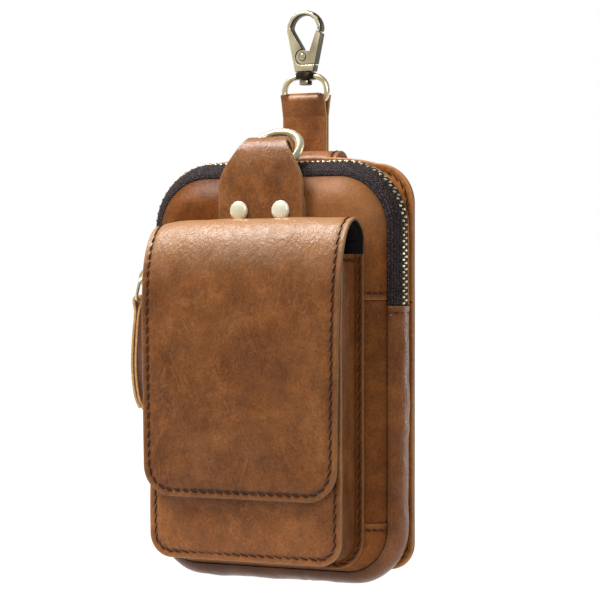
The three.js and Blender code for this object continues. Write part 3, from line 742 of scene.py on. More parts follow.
def strip_grid(strip, half, steps, radii=(0, 0), coarse_from=None):
    """Grid of x and along over a strip, and each point's distance from the edge."""
    quarter = 1 - np.cos(np.linspace(0, np.pi / 2, CORNER_STEPS))
    turns = [radii[0] * quarter, strip.length - radii[1] * quarter]
    along = np.unique(np.concatenate([spaced(strip.length, steps[1], coarse_from), *turns]))
    along = along[np.concatenate([[True], np.diff(along) > CLOSEST_ROWS])]
    along[-1] = strip.length
    widths = half(along)
    narrow = widths - rounding(along, radii[0]) - rounding(strip.length - along, radii[1])
    across = spaced(2 * widths.max(), steps[0]) / widths.max() - 1
    x = across * narrow[:, None]
    rows = np.broadcast_to(along[:, None], x.shape)
    return x, rows, border_distance(x, rows, strip.length, widths[:, None], radii)


def steady(value):
    return lambda along: np.full_like(np.asarray(along, float), value)


def nearest_distance(points, targets):
    """Distance of each point from the nearest of some targets."""
    best = np.full(points.shape[:-1], np.inf)
    for target in targets:
        best = np.minimum(best, ((points - target) ** 2).sum(-1))
    return np.sqrt(best)


# Stitching


def even_places(line, count, axes=None):
    """Rows that cut a line into equal lengths, measured over its first axes."""
    along = distances(line[:, :axes])
    return table_at(np.linspace(0, along[-1], count + 1), along, line)


def stitch_count(line, pitch=STITCH.pitch):
    return max(int(round(distances(line)[-1] / pitch)), 1)


def stitch_line(name, points, normals, count):
    """Slanted stitches along a line of points of the bag's frame, dipping into the leather at both ends."""
    steps = len(STITCH_PROFILE) - 1
    normals = np.broadcast_to(normals, points.shape)
    places = even_places(np.concatenate([points, normals], 1), steps * count, 3)
    middle, normal = places[:, :3], normalised(places[:, 3:])
    run = np.gradient(middle, axis=0)
    run -= normal * (run * normal).sum(1, keepdims=True)
    step = np.linalg.norm(run, axis=1, keepdims=True)
    side = np.cross(normal, run / step)
    slant = math.tan(math.radians(STITCH.slant_deg))
    angles = circle(STITCH.sides)[:, None]
    vertices, faces = [], []
    for first in range(0, steps * count, steps):
        faces += tube_faces(len(STITCH_PROFILE), STITCH.sides, len(vertices))
        for k, (rise, fat) in enumerate(STITCH_PROFILE):
            place = first + k
            aside = step[place] * (k - steps / 2) * slant
            centre = middle[place] + side[place] * aside + normal[place] * rise
            ring = side[place] * np.cos(angles) + normal[place] * np.sin(angles)
            vertices.extend(centre + ring * STITCH.radius * fat)
    add_piece(name, world(vertices), faces, [THREAD], "bag", slot="zip_tape")


def u_line(half, radius, inset, side_end):
    """x and along down a strip's side, round its start and up the other side, at an inset from the edge."""
    inner = max(radius - inset, TIGHTEST_TURN)
    centre = half - radius
    sides = np.arange(side_end, radius, -STITCH_STEP)
    return np.concatenate([
        join(inset - half, sides),
        arc_points((-centre, radius), inner, 180, 270, CORNER_STEPS),
        arc_points((centre, radius), inner, 270, 360, CORNER_STEPS),
        join(half - inset, sides[::-1]),
    ])


def sewn(x, along, lines):
    """How deep and how soiled the leather is along its sewn lines."""
    flat = join(x, along)
    dent = np.zeros_like(x)
    soil = np.zeros_like(x)
    for line in lines:
        count = stitch_count(line)
        seam = bell(nearest_distance(flat, even_places(line, LINE_POINTS * count)), SEWN_LINE.width)
        hole = bell(nearest_distance(flat, even_places(line, count)), SEWN_HOLE.width)
        dent = np.maximum(dent, SEWN_LINE.dent * seam + SEWN_HOLE.dent * hole)
        soil = np.maximum(soil, SEWN_LINE.soil * seam + SEWN_HOLE.soil * hole)
    return dent, soil


def flat_face(x, along):
    return 0.0


def band(at, most, width):
    """A value over a strip that is greatest at a place along it."""
    return lambda x, along: most * bell(along - at, width)


def leather_strip(
    name, strip, half, thickness, node, radii=(0, 0), steps=(1.3, 1.2), coarse_from=None, seams=None,
    uneven=0.25, shape=flat_face, move=np.asarray, wear=flat_face, tone=1.0, crease=flat_face, inside=TAN,
    edge=EDGE, sewn_through=False, outer_round=OUTER_ROUND,
):
    """A strip with rounded edges, sewn lines and a slightly uneven face, and its stitches."""

    def height_at(x, along):
        base = strip.at(x, along)
        large = (STRIP_WAVES.size, uneven, len(name))
        small = (STRIP_WAVES.small, uneven * SMALL_WAVES, STRIP_WAVES.small_seed)
        height = waves(base, large, small) + shape(x, along)
        if crease is flat_face:
            return height
        return height + ripple(base, *WRINKLES) * crease(x, along)

    def layer(x, along, out):
        return move(strip.at(x, along, out))

    seams = seams or {}
    x, along, distance = strip_grid(strip, half, steps, radii, coarse_from)
    height = height_at(x, along)
    dent, darkening = sewn(x, along, seams.values())
    outer = layer(x, along, height - rounding(distance, outer_round) - dent)
    inner_rise = rounding(distance, INNER_ROUND) + (dent if sewn_through else 0)
    inner = layer(x, along, height - thickness + inner_rise)
    paling = near(distance, most=0.3, reach=0.7) + wear(x, along)
    values = {"wear": paling, "soil": darkening, "crease": crease(x, along), "tone": tone}
    sheet_piece(name, outer, inner, [TAN, inside, edge], [node], **values)
    for label, line in seams.items():
        x, along = line.T
        points = layer(x, along, height_at(x, along) - STITCH.sunk)
        stitch_line(label, points, strip.normal_at(along), stitch_count(line))


# Front pocket


def droop(points):
    """The fold's left end sinks a little, as soft leather does."""
    past = np.clip((-points[..., 0] - DROOP.past_x) / DROOP.over, 0, DROOP.most)
    fold = unit((points[..., 2] - DROOP.above_z) / DROOP.rise)
    return points - join(0.0, 0.0, DROOP.depth * past**2 * fold)


def flap_lining(fold):
    """Cloth inside the flap, down its front and over its fold."""
    y, z = fold.path.T
    covered = (z > FLAP.bottom + FLAP.radius) & ((y < POCKET_FRONT_Y) | (z > FOLD_LINING.above_z))
    strip = Strip(fold.path[covered])
    x, along, _ = strip_grid(strip, steady(FLAP.bottom_half - FOLD_LINING.inset), steps=(4, 1.5))
    depths = (LEATHER + GAP, LEATHER + GAP + LINING)
    outer, inner = (droop(strip.at(x, along, -depth)) for depth in depths)
    sheet_piece("flap_lining_cloth", outer, inner, [BLACK] * 3, ["flap_lining"], "lining")


def pocket_flap():
    strip = Strip(curve_through(FLAP_PATH, step=0.9))
    fold_at = strip.along[np.argmax(strip.path[:, 1])]

    def half(along):
        flap = blend(FLAP.bottom_half, FLAP.top_half, unit(along / fold_at))
        past = along - fold_at - FOLD.widens
        return blend(flap, PLATE.half, unit(past / FOLD.widens_over))

    def crown(x, along):
        front = np.sin(np.pi * unit(along / fold_at)) * unit(1 - (x / FLAP.bottom_half) ** 2)
        return FLAP.crown * front * (along < fold_at)

    def crease(x, along):
        below = fold_at - along
        return fade(below, *FOLD.smooth) * smoothstep(below, *FOLD.creased)

    line = u_line(FLAP.bottom_half, FLAP.radius, STITCH_INSET, fold_at + FOLD.stitched_to)
    on_side = np.abs(line[:, 0]) > FLAP.bottom_half - STITCH_INSET - SIDE_MARGIN
    widen = (half(line[:, 1]) - FLAP.bottom_half) * np.sign(line[:, 0])
    line[:, 0] += np.where(on_side, widen, 0)
    leather_strip(
        "flap_leather", strip, half, LEATHER, "pocket_flap", radii=(FLAP.radius, PLATE.radius),
        steps=(1.0, 0.85), coarse_from=fold_at + FOLD.hidden_from, seams={"flap_stitches": line}, uneven=0.5,
        shape=crown, move=droop, crease=crease, inside=BLACK,
        # Paler band below the fold's top: stretched leather and painted highlight
        wear=band(fold_at - FOLD_PALE_AND_SHEEN.before, FOLD_PALE_AND_SHEEN.most, FOLD_PALE_AND_SHEEN.width),
    )
    flap_lining(strip)


def pocket_front():
    half = POCKET.half + POCKET.overhang
    radius = POCKET.radius + POCKET.overhang
    bottom = POCKET.bottom - POCKET.overhang

    def belly(x, along):
        rise = smoothstep(along, *POCKET_BELLY.starts) * fade(along, *POCKET_BELLY.fades)
        return POCKET_BELLY.depth * unit(1 - (x / half) ** 2) * rise

    leather_strip(
        "pocket_front_leather", Strip([(POCKET_FRONT_Y, bottom), (POCKET_FRONT_Y, POCKET.front_top)]),
        steady(half), LEATHER, "pocket_front", radii=(radius, 0), steps=(1.1, 1.0), uneven=0.4, shape=belly,
        seams={"pocket_front_stitches": u_line(half, radius, STITCH_INSET, POCKET_STITCHED_TO)},
        coarse_from=POCKET_SEEN_TO, tone=1.42,
    )


# Outlines and the sides that follow them


class Outline:
    """Part of a panel's outline, by distance along it, with an outward normal."""

    def __init__(self, points, normals):
        self.points = points
        self.normals = normals
        self.along = distances(points)
        self.length = self.along[-1]

    def at(self, place):
        return table_at(place, self.along, self.points), normalised(table_at(place, self.along, self.normals))


def outline_run(half, corner_z, radius, sign, side_z):
    """From side_z on the right, round the top corners (sign 1) or bottom ones (sign -1), to the left."""
    centre_z = corner_z - sign * radius
    turn = np.linspace(0, 90 * sign, ARC_STEPS + 1)
    right = arc_points((half - radius, centre_z), radius, 0, 90 * sign, ARC_STEPS)
    left = arc_points((radius - half, centre_z), radius, 90 * sign, 180 * sign, ARC_STEPS)
    angles = np.radians(np.concatenate([[0], turn, turn + 90 * sign, [180 * sign]]))
    points = np.concatenate([[(half, side_z)], right, left, [(-half, side_z)]])
    return Outline(points, join(np.cos(angles), np.sin(angles)))


def pocket_gusset():
    run = outline_run(POCKET.half, POCKET.bottom, POCKET.radius, -1, POCKET.gusset_top)
    front_y = POCKET_FRONT_Y + LEATHER + GAP
    face_y = PLATE.back - LEATHER - GAP - THIN_LEATHER
    section = [(out, face_y + depth) for out, depth in POCKET_SECTION] + [(0, front_y)]
    strip = Strip(curve_through(section, step=0.6))
    places = spaced(run.length, step=1.2)[:, None]
    from_flange = spaced(strip.length, step=0.6)
    from_front = strip.length - from_flange
    point, normal = run.at(places)
    flat = strip.row(from_flange, strip.path)
    facing = strip.row(from_flange, strip.normal)
    hem = np.minimum(places, run.length - places)
    rough = join(places, from_flange * 2, 0.0)
    over = POCKET_SAG.over
    deep = unit(from_front / over) * unit((from_flange - POCKET_SAG.start) / over)
    sag = ripple(rough, POCKET_SAG.size, POCKET_SAG.height, POCKET_SAG.seed) * deep
    sag = sag + ripple(rough, *POCKET_SMALL_WAVES)
    distance = np.minimum(np.minimum(from_front, from_flange), hem)

    def layer(out):
        depth = flat + facing * out[..., None]
        xz = point + normal * depth[..., :1]
        return join(xz[..., 0], depth[..., 1], xz[..., 1])

    past_flange = from_flange > FLANGE.width + POCKET_HEM.past_flange
    width, soil = SEAM_WIDTH.pocket, POCKET_SOIL_AND_SHADE
    seams = bell(from_flange - FLANGE.inset, width) + bell(hem - POCKET_HEM.inset, width) * past_flange
    # Painted shade in the crevice just past the flange
    crevice = bell(from_flange - FLANGE.width - soil.crevice_past, soil.crevice_width)
    outer = layer(sag - rounding(distance, OUTER_ROUND) - SEAM_DENT * seams)
    inner = layer(sag - THIN_LEATHER + rounding(distance, INNER_ROUND))
    sheet_piece(
        "pocket_gusset_leather", outer, inner, [SIDE_TAN, SIDE_TAN, EDGE], ["pocket_gusset"],
        wear=near(distance, most=0.3, reach=0.6), crease=0.35 * deep,
        soil=unit(soil.all_over + soil.crevice * crevice + soil.seams * seams),
    )
    pocket_stitches(run, section, face_y, front_y)


def pocket_stitches(run, section, face_y, front_y):
    """Stitches along the pocket's flange and across both upper ends of its side."""
    point, normal = run.at(np.arange(FLANGE.stitch_end, run.length - FLANGE.stitch_end, STITCH_STEP))
    xz = point + normal * (FLANGE.width - FLANGE.inset)
    line = join(xz[:, 0], face_y - FLANGE.stitch_proud, xz[:, 1])
    stitch_line("pocket_flange_stitches", line, (0, -1, 0), stitch_count(line))
    depths = np.linspace(face_y - FLANGE.inset, front_y + POCKET_HEM.front_margin, POCKET_HEM.points)
    outs, backs = np.transpose(section)
    out = np.interp(-depths, -backs, outs)
    for side, place in (("right", POCKET_HEM.inset), ("left", run.length - POCKET_HEM.inset)):
        (x, z), (facing, _) = run.at(place)
        line = join(x + facing * out, depths, z)
        stitch_line(f"pocket_hem_stitches_{side}", line, (facing, 0, 0), stitch_count(line, POCKET_HEM.pitch))


# Main compartment


def panel_face(x, z):
    """y of the front panels' outer face, and the distance from their seam."""
    radii = (FRONT.bottom_radius, FRONT.top_radius)
    seam = border_distance(x, z - FRONT.bottom, FRONT.top - FRONT.bottom, FRONT.half, radii)
    rise = PANEL.rise * (1 - (1 - unit(seam / PANEL.shoulder)) ** 2)
    height = waves(join(x, 0.0, z), *PANEL_WAVES)
    return SEAM_Y - rise - height * unit(seam / PANEL.calm), seam


def front_panel(part, low, high, radii, lapped, tone, painted_sheen=0.0):
    """A crowned panel between two heights. A lapped end is cut, and other edges turn back into the seam."""
    strip = Strip([(0, low), (0, high)])
    x, along, _ = strip_grid(strip, steady(FRONT.half), steps=(1.3, 1.2), radii=radii)
    z = low + along
    y, seam = panel_face(x, z)
    ends = {"low": along, "high": strip.length - along}
    lap = ends.get(lapped, np.full_like(x, np.inf))
    if lapped is None:
        under = np.minimum(ends["low"], ends["high"])
        behind = np.maximum(fade(under, LAP.under, LAP.under + LAP.dip), smoothstep(seam, 0, PANEL.rise))
        y = y + (THIN_LEATHER + GAP) * behind
    stitched = bell(lap - LAP.inset, SEAM_WIDTH.lap)
    # Painted sheen, paler towards the top right of the upper panel
    sheen_top = painted_sheen * smoothstep(x, *UPPER_SHEEN.x) * smoothstep(z, *UPPER_SHEEN.z)
    outer_y = y + rounding(np.minimum(lap, seam), PANEL_ROUND) + SEAM_DENT * stitched
    turned = near(seam, SEAM_TURN.depth, SEAM_TURN.reach)
    inner_y = y + THIN_LEATHER + turned - rounding(lap, INNER_ROUND)
    sheet_piece(
        f"front_{part}_leather", join(x, outer_y, z), join(x, inner_y, z), [SIDE_TAN, SIDE_TAN, EDGE],
        [f"front_panel_{part}"], wear=near(lap, most=0.45, reach=0.6) + sheen_top,
        # Painted shade at the seam with the gusset, and darker along the lap's stitches
        soil=unit(near(seam, most=0.5, reach=1.4) + LAP.soil * stitched), crease=0.15,
        # Painted light: lighter to the right, darker to the left
        tone=tone * (1 + PANEL_PAINTED_LIGHT * x / FRONT.half),
    )


def front_panels():
    upper, lower, under = LAP.upper_z, LAP.lower_z, LAP.under
    front_panel("upper", upper, FRONT.top, (0, FRONT.top_radius), "low", tone=1.1, painted_sheen=0.2)
    front_panel("middle", lower - under, upper + under, (0, 0), None, tone=0.92)
    front_panel("lower", FRONT.bottom, lower, (FRONT.bottom_radius, 0), "high", tone=0.97)
    reach = FRONT.half - LAP.end
    x = np.linspace(-reach, reach, LAP.points)
    for part, z in (("upper", upper + LAP.inset), ("lower", lower - LAP.inset)):
        y = panel_face(x, np.full_like(x, z))[0] + STITCH.sunk
        points = join(x, y, z)
        normals = join(np.gradient(y, x), -1, 0)
        stitch_line(f"lap_stitches_{part}", points, normals, stitch_count(points, LAP.pitch))


def edge_point(point, normal, share, out):
    """A point of the bulging edge at a share of its depth, standing out of its surface."""
    angle = np.arccos(1 - 2 * share)
    upright = normal[..., 1]
    far = np.where(upright > 0, BULGE.top, BULGE.bottom)
    bulge = blend(BULGE.side, far, np.abs(upright))
    run_out = EDGE_REAR_STEP / 2 * np.sin(angle) + bulge * np.cos(angle)
    run_back = EDGE_DEPTH / 2 * np.sin(angle)
    length = np.hypot(run_out, run_back)
    wide = EDGE_REAR_STEP * share + bulge * np.sin(angle) + out * run_back / length
    xz = point + normal * wide[..., None]
    return join(xz[..., 0], SEAM_Y + EDGE_DEPTH * share - out * run_out / length, xz[..., 1])


def edge_shares(angles, count):
    """Shares of the edge's depth, evenly round its bulge."""
    return (1 - np.cos(np.linspace(*angles, count))) / 2


def edge_sheet(
    name, run, part, steps, thickness, materials, node, slot="leather", uneven=0.0, tone=1.0, joint=None
):
    """A wall along the bulging edge. One with a joint has a sewn hem at both ends."""
    places = spaced(run.length, steps[0])[:, None]
    share = edge_shares(np.arccos(1 - 2 * np.array(EDGE_SHARE[part])), steps[1])
    point, normal = run.at(places)
    middle = np.sin(np.arccos(1 - 2 * share))
    base = edge_point(point, normal, share, 0.0)
    large = (EDGE_WAVES.size, uneven, EDGE_WAVES.seed)
    small = (EDGE_WAVES.small, uneven * SMALL_WAVES, EDGE_WAVES.small_seed)
    height = waves(base, large, small) * middle
    end = np.minimum(places, run.length - places)
    turn = rounding(end, END_ROUND)
    lift = height - turn
    darkening = 0.0
    if joint:
        soil = GUSSET_SOIL_AND_SHADE
        hem = bell(end - GUSSET.hem, SEAM_WIDTH.hem)
        seam = bell(places - joint, SEAM_WIDTH.joint)
        # Painted shade under the bag, on faces that look down
        under = smoothstep(-normal[..., 1], soil.under_from, 1)
        lift = lift - SEAM_DENT * hem - 2 * SEAM_DENT * seam
        # Darker overall, partly painted shade; darker along the hems and the joint; painted shade towards
        # both edges and underneath
        darkening = soil.all_over + soil.hem * hem + soil.edges * (1 - middle) ** 2
        darkening = unit(darkening + soil.under * under + soil.joint * seam)
    outer = edge_point(point, normal, share, lift)
    inner = edge_point(point, normal, share, height - thickness + turn)
    paling = near(end, most=0.3, reach=0.7) if slot == "leather" else 0.0
    sheet_piece(name, outer, inner, materials, [node], slot, wear=paling, soil=darkening, crease=0.3, tone=tone)


def rounded(piece, width, segments=2):
    """Bevels a hard piece's edges and keeps its flats flat."""
    bevel = piece.modifiers.new("round_edges", "BEVEL")
    bevel.width = width * MM
    bevel.segments = segments
    bevel.limit_method = "ANGLE"
    bevel.angle_limit = math.radians(HARD_EDGE_DEG)
    bevel.harden_normals = True
    return bevel


def zip_teeth(run):
    """Two rows of teeth that mesh along the middle of the zip."""
    vertices, faces = [], []
    count = 2 * int(run.length / TOOTH.pitch)
    for index in range(count):
        point, normal = run.at((index + 0.5) * run.length / count)
        centre = edge_point(point, normal, CHAIN_SHARE, TOOTH.out)
        out = edge_point(point, normal, CHAIN_SHARE, TOOTH.out + 1) - centre
        back = normalised(edge_point(point, normal, CHAIN_SHARE + TOOTH.share_ahead, TOOTH.out) - centre)
        along = np.cross(out, back)
        inward = back if index % 2 else -back
        faces += tube_faces(len(TOOTH_ROWS), len(TOOTH_CORNERS), len(vertices))
        for depth, half_along, half_out in TOOTH_ROWS:
            middle = centre - inward * (depth - TOOTH.mesh)
            for sign_out, sign_along in TOOTH_CORNERS:
                vertices.append(middle + out * sign_out * half_out + along * sign_along * half_along)
    piece = add_piece("zip_teeth", world(vertices), faces, [TEETH], "bag", ["zip_chain"], "brass")
    rounded(piece, TOOTH.round)


def main_edge():
    lower = outline_run(FRONT.half, FRONT.bottom, FRONT.bottom_radius, -1, ZIP_END_Z - GAP)
    upper = outline_run(FRONT.half, FRONT.top, FRONT.top_radius, 1, ZIP_END_Z)
    joint = lower.along[ARC_STEPS + 1] + lower.points[ARC_STEPS + 1, 0] - GUSSET.joint_x
    edge_sheet(
        "gusset_leather", lower, "gusset", (1.2, 28), LEATHER, [GLOSS_TAN, TAN, EDGE], "gusset", uneven=0.7,
        tone=1.15, joint=joint,
    )
    cloth = [WEAVE] * 3
    edge_sheet(
        "tape_front_cloth", upper, "tape_front", (2, 14), TAPE, cloth, "zip_tape_front", "zip_tape",
        uneven=0.3,
    )
    edge_sheet("tape_rear_cloth", upper, "tape_rear", (2, 7), TAPE, cloth, "zip_tape_rear", "zip_tape")
    edge_sheet(
        "zip_facing_leather", upper, "facing", (1.5, 10), THIN_LEATHER, [SIDE_TAN, TAN, PALE_EDGE],
        "zip_facing", uneven=0.3, tone=1.6,
    )
    zip_teeth(upper)
    share = edge_shares(GUSSET.hem_angles, GUSSET.hem_points)
    for side, sign, place in (("right", 1, GUSSET.hem), ("left", -1, lower.length - GUSSET.hem)):
        point, normal = lower.at(place)
        line = edge_point(point, normal, share, -STITCH.sunk)
        out = edge_point(point, normal, share, 1.0) - line
        stitch_line(f"gusset_hem_stitches_{side}", line, out, stitch_count(line, GUSSET.hem_pitch))
        x = sign * (BACK.half - np.array(TACK.insets))
        tack = join(x, BACK_FRONT_Y, ZIP_END_Z + TACK.rise)
        stitch_line(f"zip_end_tack_{side}", tack, (0, -1, 0), len(x) - 1)


def back_panel():
    bottom, top = BACK.bottom, BACK.top
    strip = Strip([(BACK_FRONT_Y, bottom), (BACK_FRONT_Y, top)])
    flat = BACK.half - BACK.top_radius

    def crowned(points):
        upper = unit((points[..., 2] - BACK_CROWN.from_z) / (top - BACK_CROWN.from_z))
        rise = BACK_CROWN.height * unit(1 - (points[..., 0] / flat) ** 4) * upper
        return points + join(0.0, 0.0, rise)

    lower = u_line(BACK.half, BACK.bottom_radius, STITCH_INSET, strip.length - BACK.top_radius)
    upper = u_line(BACK.half, BACK.top_radius, STITCH_INSET, BACK.top_radius + BACK.stitch_past)
    upper[:, 1] = strip.length - upper[:, 1]
    leather_strip(
        "back_leather", strip, steady(BACK.half), BACK_THICKNESS, "back_panel",
        radii=(BACK.bottom_radius, BACK.top_radius), steps=(1.6, 1.5), uneven=0.12, move=crowned,
        seams={"back_stitches_lower": lower, "back_stitches_upper": upper}, sewn_through=True, tone=1.8,
    )
    for part, line in (("lower", lower), ("upper", upper)):
        points = crowned(join(line[:, 0], BACK_FRONT_Y + BACK_THICKNESS - STITCH.sunk, bottom + line[:, 1]))
        stitch_line(f"back_rear_stitches_{part}", points, (0, 1, 0), stitch_count(line))


# Tab, straps and pull


def front_tab():
    strip = Strip(curve_through(TAB_PATH, step=0.7))
    apex = strip.length / 2

    def half(along):
        rear = np.maximum(along - apex - TAB.rear_narrow, 0)
        from_apex = np.where(along < apex, apex - along, rear)
        return blend(TAB.fold_half, TAB.half, smoothstep(from_apex, 0, TAB.taper))

    leather_strip(
        "front_tab_leather", strip, half, LEATHER, "front_tab", steps=(0.8, 0.8), edge=PALE_EDGE,
        crease=band(apex, TAB_CREASE.most, TAB_CREASE.width), outer_round=CRISP_ROUND,
        wear=band(apex - TAB_RUB.before, TAB_RUB.most, TAB_RUB.width),
    )


def belt_loop():
    front, rear, roll = BELT_LOOP.front_y, BELT_LOOP.rear_y, BELT_LOOP_Z.roll
    lay = front + BELT_LOOP.thickness
    landing = curve_through([(blend(lay, rear, share), z) for share, z in BELT_LANDING], step=1)
    strip = Strip(np.concatenate([
        straight((front, BELT_LOOP_Z.front_end), (front, roll)),
        arc_points(((front + rear) / 2, roll), (rear - front) / 2, 180, 0, ARC_STEPS),
        straight((rear, roll - 1), landing[0]),
        landing,
        straight((lay, landing[-1, 1] - 1), (lay, BELT_LOOP_Z.rear_end)),
        [(lay, BELT_LOOP_Z.rear_end)],
    ]))
    inset = BELT_LOOP.half - BELT_LOOP.stitch_inset
    end = strip.length - BELT_LOOP.stitch_inset
    sides = np.arange(roll - BELT_LOOP_Z.front_end - BELT_STITCHES.before_roll, end, STITCH_STEP)
    reach = inset - BELT_STITCHES.side_gap
    seams = {
        "belt_loop_stitches_right": join(inset, sides),
        "belt_loop_stitches_left": join(-inset, sides),
        "belt_loop_stitches_end": join(np.linspace(-reach, reach, BELT_STITCHES.points), end),
    }
    leather_strip(
        "belt_loop_leather", strip, steady(BELT_LOOP.half), BELT_LOOP.thickness, "belt_loop", seams=seams,
        tone=1.4,
    )


class FoldedStrip(Strip):
    """The hook strap, whose corners flare in front of and behind the sides of the hook's loop."""

    def at(self, x, along, out=0.0):
        points = super().at(x, along, out)
        from_top = np.asarray(along) - self.length / 2
        rise = STRAP_FLARE.stretch * np.maximum(STRAP_OUTER * np.pi / 2 - np.abs(from_top), 0)
        y = HOOK_Y + np.sign(from_top) * (STRAP_OUTER + STRAP_FLARE.lean * rise + out)
        share = smoothstep(np.abs(x), *STRAP_FLARE.edge) * (rise > 0)
        points[..., 1] += share * (y - points[..., 1])
        points[..., 2] += share * (BAR_Z + rise - points[..., 2])
        return points


def hook_strap():
    front, rear = STRAP.front_y, 2 * HOOK_Y - STRAP.front_y
    gather = BAR_Z - STRAP.gather
    over = arc_points((HOOK_Y, BAR_Z), STRAP_OUTER, 180, 0, ARC_STEPS)
    strip = FoldedStrip(np.concatenate([
        straight((front, STRAP.bottom), (front, gather)),
        straight((front, gather), over[0], step=0.7),
        over,
        straight(over[-1], (rear, gather), step=0.7)[1:],
        straight((rear, gather), (rear, STRAP.bottom)),
        [(rear, STRAP.bottom)],
    ]))

    def half(along):
        from_top = np.abs(along - strip.length / 2)
        return blend(STRAP.notch_half, STRAP.half, smoothstep(from_top, *STRAP_NOTCH))

    tail = u_line(STRAP.half, STRAP_TAIL.radius, STRAP_TAIL.inset, STRAP_TAIL.height)
    tail[:, 1] = strip.length - tail[:, 1]
    leather_strip(
        "hook_strap_leather", strip, half, STRAP.thickness, "hook_strap", steps=(0.6, 0.4), uneven=0.1,
        seams={"hook_strap_stitches": tail}, tone=1.2, edge=PALE_EDGE, outer_round=CRISP_ROUND,
    )


def pull_strap():
    side = np.array([-FRONT.half, SLIDER.z])
    chain = edge_point(side, np.array([-1.0, 0.0]), CHAIN_SHARE, CHAIN_PROUD)
    eye = chain[0] - RUNNING_GAP - SLIDER.thickness - (SLIDER.bail - SLIDER.bail_wire) / 2
    lean = math.radians(LINK.lean_deg)
    hang = 2 * LINK.half_length
    layer = PULL.thickness + GAP / 2
    near_layer = [(out - layer, z) for out, z in PULL_MIDDLE]
    far_layer = [(out + layer, z) for out, z in reversed(PULL_MIDDLE)]
    fold = arc_points((0, 0), LINK.wire + RUNNING_GAP + PULL.thickness, 180, 0, steps=8)
    strip = Strip(curve_through(np.concatenate([near_layer, fold, far_layer]), step=0.7))

    def hung(points):
        x, y, z = np.moveaxis(points, -1, 0)
        return join(eye - hang * math.sin(lean) - y, chain[1] + x, SLIDER.z - hang * math.cos(lean) + z)

    leather_strip(
        "pull_strap_leather", strip, steady(PULL.half), PULL.thickness, "zip_pull_strap", steps=(0.6, 0.7),
        uneven=0.05, move=hung, tone=1.3, edge=PALE_EDGE, outer_round=CRISP_ROUND,
    )


# Hardware


def tab_ring():
    """A round ring of wire that leans back from the tab's fold."""
    lean = math.radians(RING.lean_deg)
    turn = circle(RING.steps)
    reach = RING.radius * (1 - np.cos(turn))
    y = RING.near_y + reach * math.cos(lean)
    centre = join(RING.radius * np.sin(turn), y, RING.near_z + reach * math.sin(lean))
    tangent = normalised(np.roll(centre, -1, 0) - np.roll(centre, 1, 0))
    plane = normalised(np.cross(centre[1] - centre[0], centre[RING.steps // 3] - centre[0]))
    outward = np.cross(tangent, plane)[:, None, :]
    angles = circle(RING.sides)[:, None]
    wire = outward * np.cos(angles) + plane * np.sin(angles)
    vertices = world((centre[:, None, :] + wire * RING.wire).reshape(-1, 3))
    faces = tube_faces(RING.steps, RING.sides, closed=True)
    add_piece("tab_ring_metal", vertices, faces, [BRASS], "ring", ["tab_ring"], "brass")


def side_face(face):
    """Whether a face of the hook is one of its sides, not of its flat front or back."""
    return abs(face.normal.y) < FLAT_SHARE


def collar_face(face):
    """Whether a face is on the collar that turns on the hook's stem."""
    middle = face.calc_center_median()
    return math.hypot(middle.x, middle.y) < COLLAR.radius * MM and middle.z > COLLAR.bottom * MM


def bright_face(face):
    return False


def weigh_edges(work, fine_below):
    """Marks the hard edges to round, finely below a height."""
    weights = work.edges.layers.float.new("bevel_weight_edge")
    for edge in work.edges:
        low = min(vertex.co.z for vertex in edge.verts)
        hard = edge.calc_face_angle(0) > math.radians(HARD_EDGE_DEG)
        edge[weights] = hard * (1 if low > fine_below * MM else FINE_SHARE)


def rounded_copy(name, source, body, width, dark=bright_face, material=BRASS, fine_below=None):
    """A CAD node's shape with its edges rounded, and darker brass on the faces that a given test picks."""
    mesh = frame["nodes"][source].data.copy()
    mesh.name = name
    mesh.materials.clear()
    mesh.materials.append(material)
    mesh.materials.append(DARK_BRASS)
    work = bmesh.new()
    work.from_mesh(mesh)
    bmesh.ops.remove_doubles(work, verts=work.verts, dist=SAME_PLACE)
    flat = math.radians(SAME_FLAT_DEG)
    bmesh.ops.dissolve_limit(work, angle_limit=flat, verts=work.verts, edges=work.edges)
    work.normal_update()
    for face in work.faces:
        face.material_index = int(dark(face))
        face.smooth = True
    if fine_below is not None:
        weigh_edges(work, fine_below)
    work.to_mesh(mesh)
    work.free()
    bevel = rounded(place_piece(name, mesh, body, "brass", [source]), width, segments=3)
    if fine_below is not None:
        bevel.limit_method = "WEIGHT"
        bevel.use_clamp_overlap = False


def hardware():
    tab_ring()
    rounded_copy("hook_body_metal", "hook_body", "hook", 1.0, side_face, fine_below=HOOK_SLOT_Z)
    rounded_copy("hook_gate_metal", "hook_gate", "gate", 0.6, side_face)
    rounded_copy("gate_pin_metal", "gate_pin", "hook", 0.25)
    rounded_copy("hook_loop_metal", "hook_loop", "loop", 0.2, collar_face)
    rounded_copy("rivet_left_metal", "tab_rivet_left", "bag", 0.2, material=PALE_BRASS)
    rounded_copy("rivet_right_metal", "tab_rivet_right", "bag", 0.2, material=PALE_BRASS)
    rounded_copy("slider_metal", "zip_slider", "bag", 0.5)
    rounded_copy("pull_link_metal", "zip_pull_link", "bag", 0.1)


# Stage


def look_along(made, direction):
    made.rotation_mode = "QUATERNION"
    made.rotation_quaternion = direction.to_track_quat("-Z", "Y")


def area_light(name, direction, size, power):
    """A soft box that looks at the bag from a direction."""
    light = bpy.data.lights.new(name, "AREA")
    light.shape = "RECTANGLE"
    light.size, light.size_y = size
    light.energy = power
    lamp = in_scene(name, light)
    aim = Vector(direction).normalized()
    lamp.location = Vector(world([0, 0, LIGHT_CENTRE_Z])) + aim * LIGHT_DISTANCE
    look_along(lamp, -aim)


def view_back():
    """Horizontal direction from the bag to the camera."""
    azimuth = math.radians(VIEW_AZIMUTH_DEG)
    return Vector((math.sin(azimuth), -math.cos(azimuth), 0))


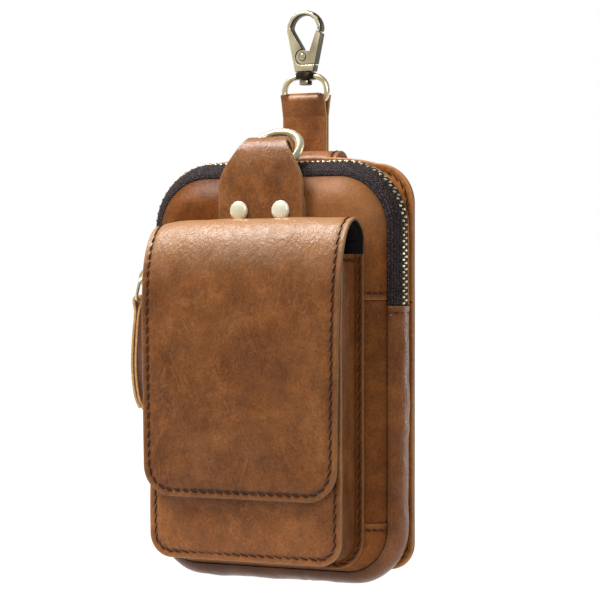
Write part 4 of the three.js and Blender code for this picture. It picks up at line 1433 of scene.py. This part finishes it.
def floor():
    """A pale floor that lights the bag more from behind."""
    low, reach = cad_box[0][2] - FLOOR.below, FLOOR.reach
    corners = [(-reach, -reach, low), (reach, -reach, low), (reach, reach, low), (-reach, reach, low)]
    mesh = bpy.data.meshes.new("floor")
    mesh.from_pydata(corners, [], [(0, 1, 2, 3)])
    made = Surface("floor_white")
    behind = made.work_out("VectorMath", "DOT_PRODUCT", made.place, -view_back())["Value"]
    glow = made.ramp(made.maths("ADD", behind, 0.5), (0.25, 0.33), (0.45, 0.97))
    made.set(Base_Color=(0.12, 0.12, 0.12, 1), Roughness=0.9, Specular_IOR_Level=0)
    made.set(Emission_Color=made.white_in_view(glow), Emission_Strength=1)
    mesh.materials.append(made.material)
    in_scene("floor", mesh)


def sky():
    """Lights the bag from behind, and less all round, as in a studio."""
    made = bpy.data.worlds.new("studio")
    made.use_nodes = True
    graph = Graph(made.node_tree)
    direction = graph.add("TexCoord").outputs["Generated"]
    behind = graph.work_out("VectorMath", "DOT_PRODUCT", direction, -view_back())["Value"]
    share = graph.times(graph.maths("ADD", behind, 1.0), 0.5)
    bright = graph.ramp(share, (0.0, 0.25), (0.82, 0.3), (0.95, 1.0))
    graph.feed(graph.tree.nodes["Background"].inputs["Color"], graph.white_in_view(bright))
    bpy.context.scene.world = made


def stage():
    bpy.context.scene.view_settings.view_transform = "Standard"
    floor()
    sky()
    for name, light in LIGHTS.items():
        area_light(name, light["from"], light["size"], light["watts"])


def camera():
    data = bpy.data.cameras.new("camera")
    made = in_scene("camera", data)
    target = Vector(world(VIEW_TARGET))
    rise = VIEW_RISE_PIXELS / VIEW_SCALE
    made.location = target + view_back() * VIEW_DISTANCE * MM + Vector((0, 0, rise * MM))
    look_along(made, target - made.location)
    data.sensor_width = SENSOR_WIDTH
    data.lens = VIEW_SCALE * VIEW_DISTANCE / PHOTO_PIXELS * SENSOR_WIDTH
    data.clip_start, data.clip_end = CLIP_METRES
    bpy.context.scene.camera = made


camera()
stage()
pocket_flap()
pocket_front()
pocket_gusset()
front_panels()
main_edge()
back_panel()
front_tab()
belt_loop()
hook_strap()
pull_strap()
hardware()
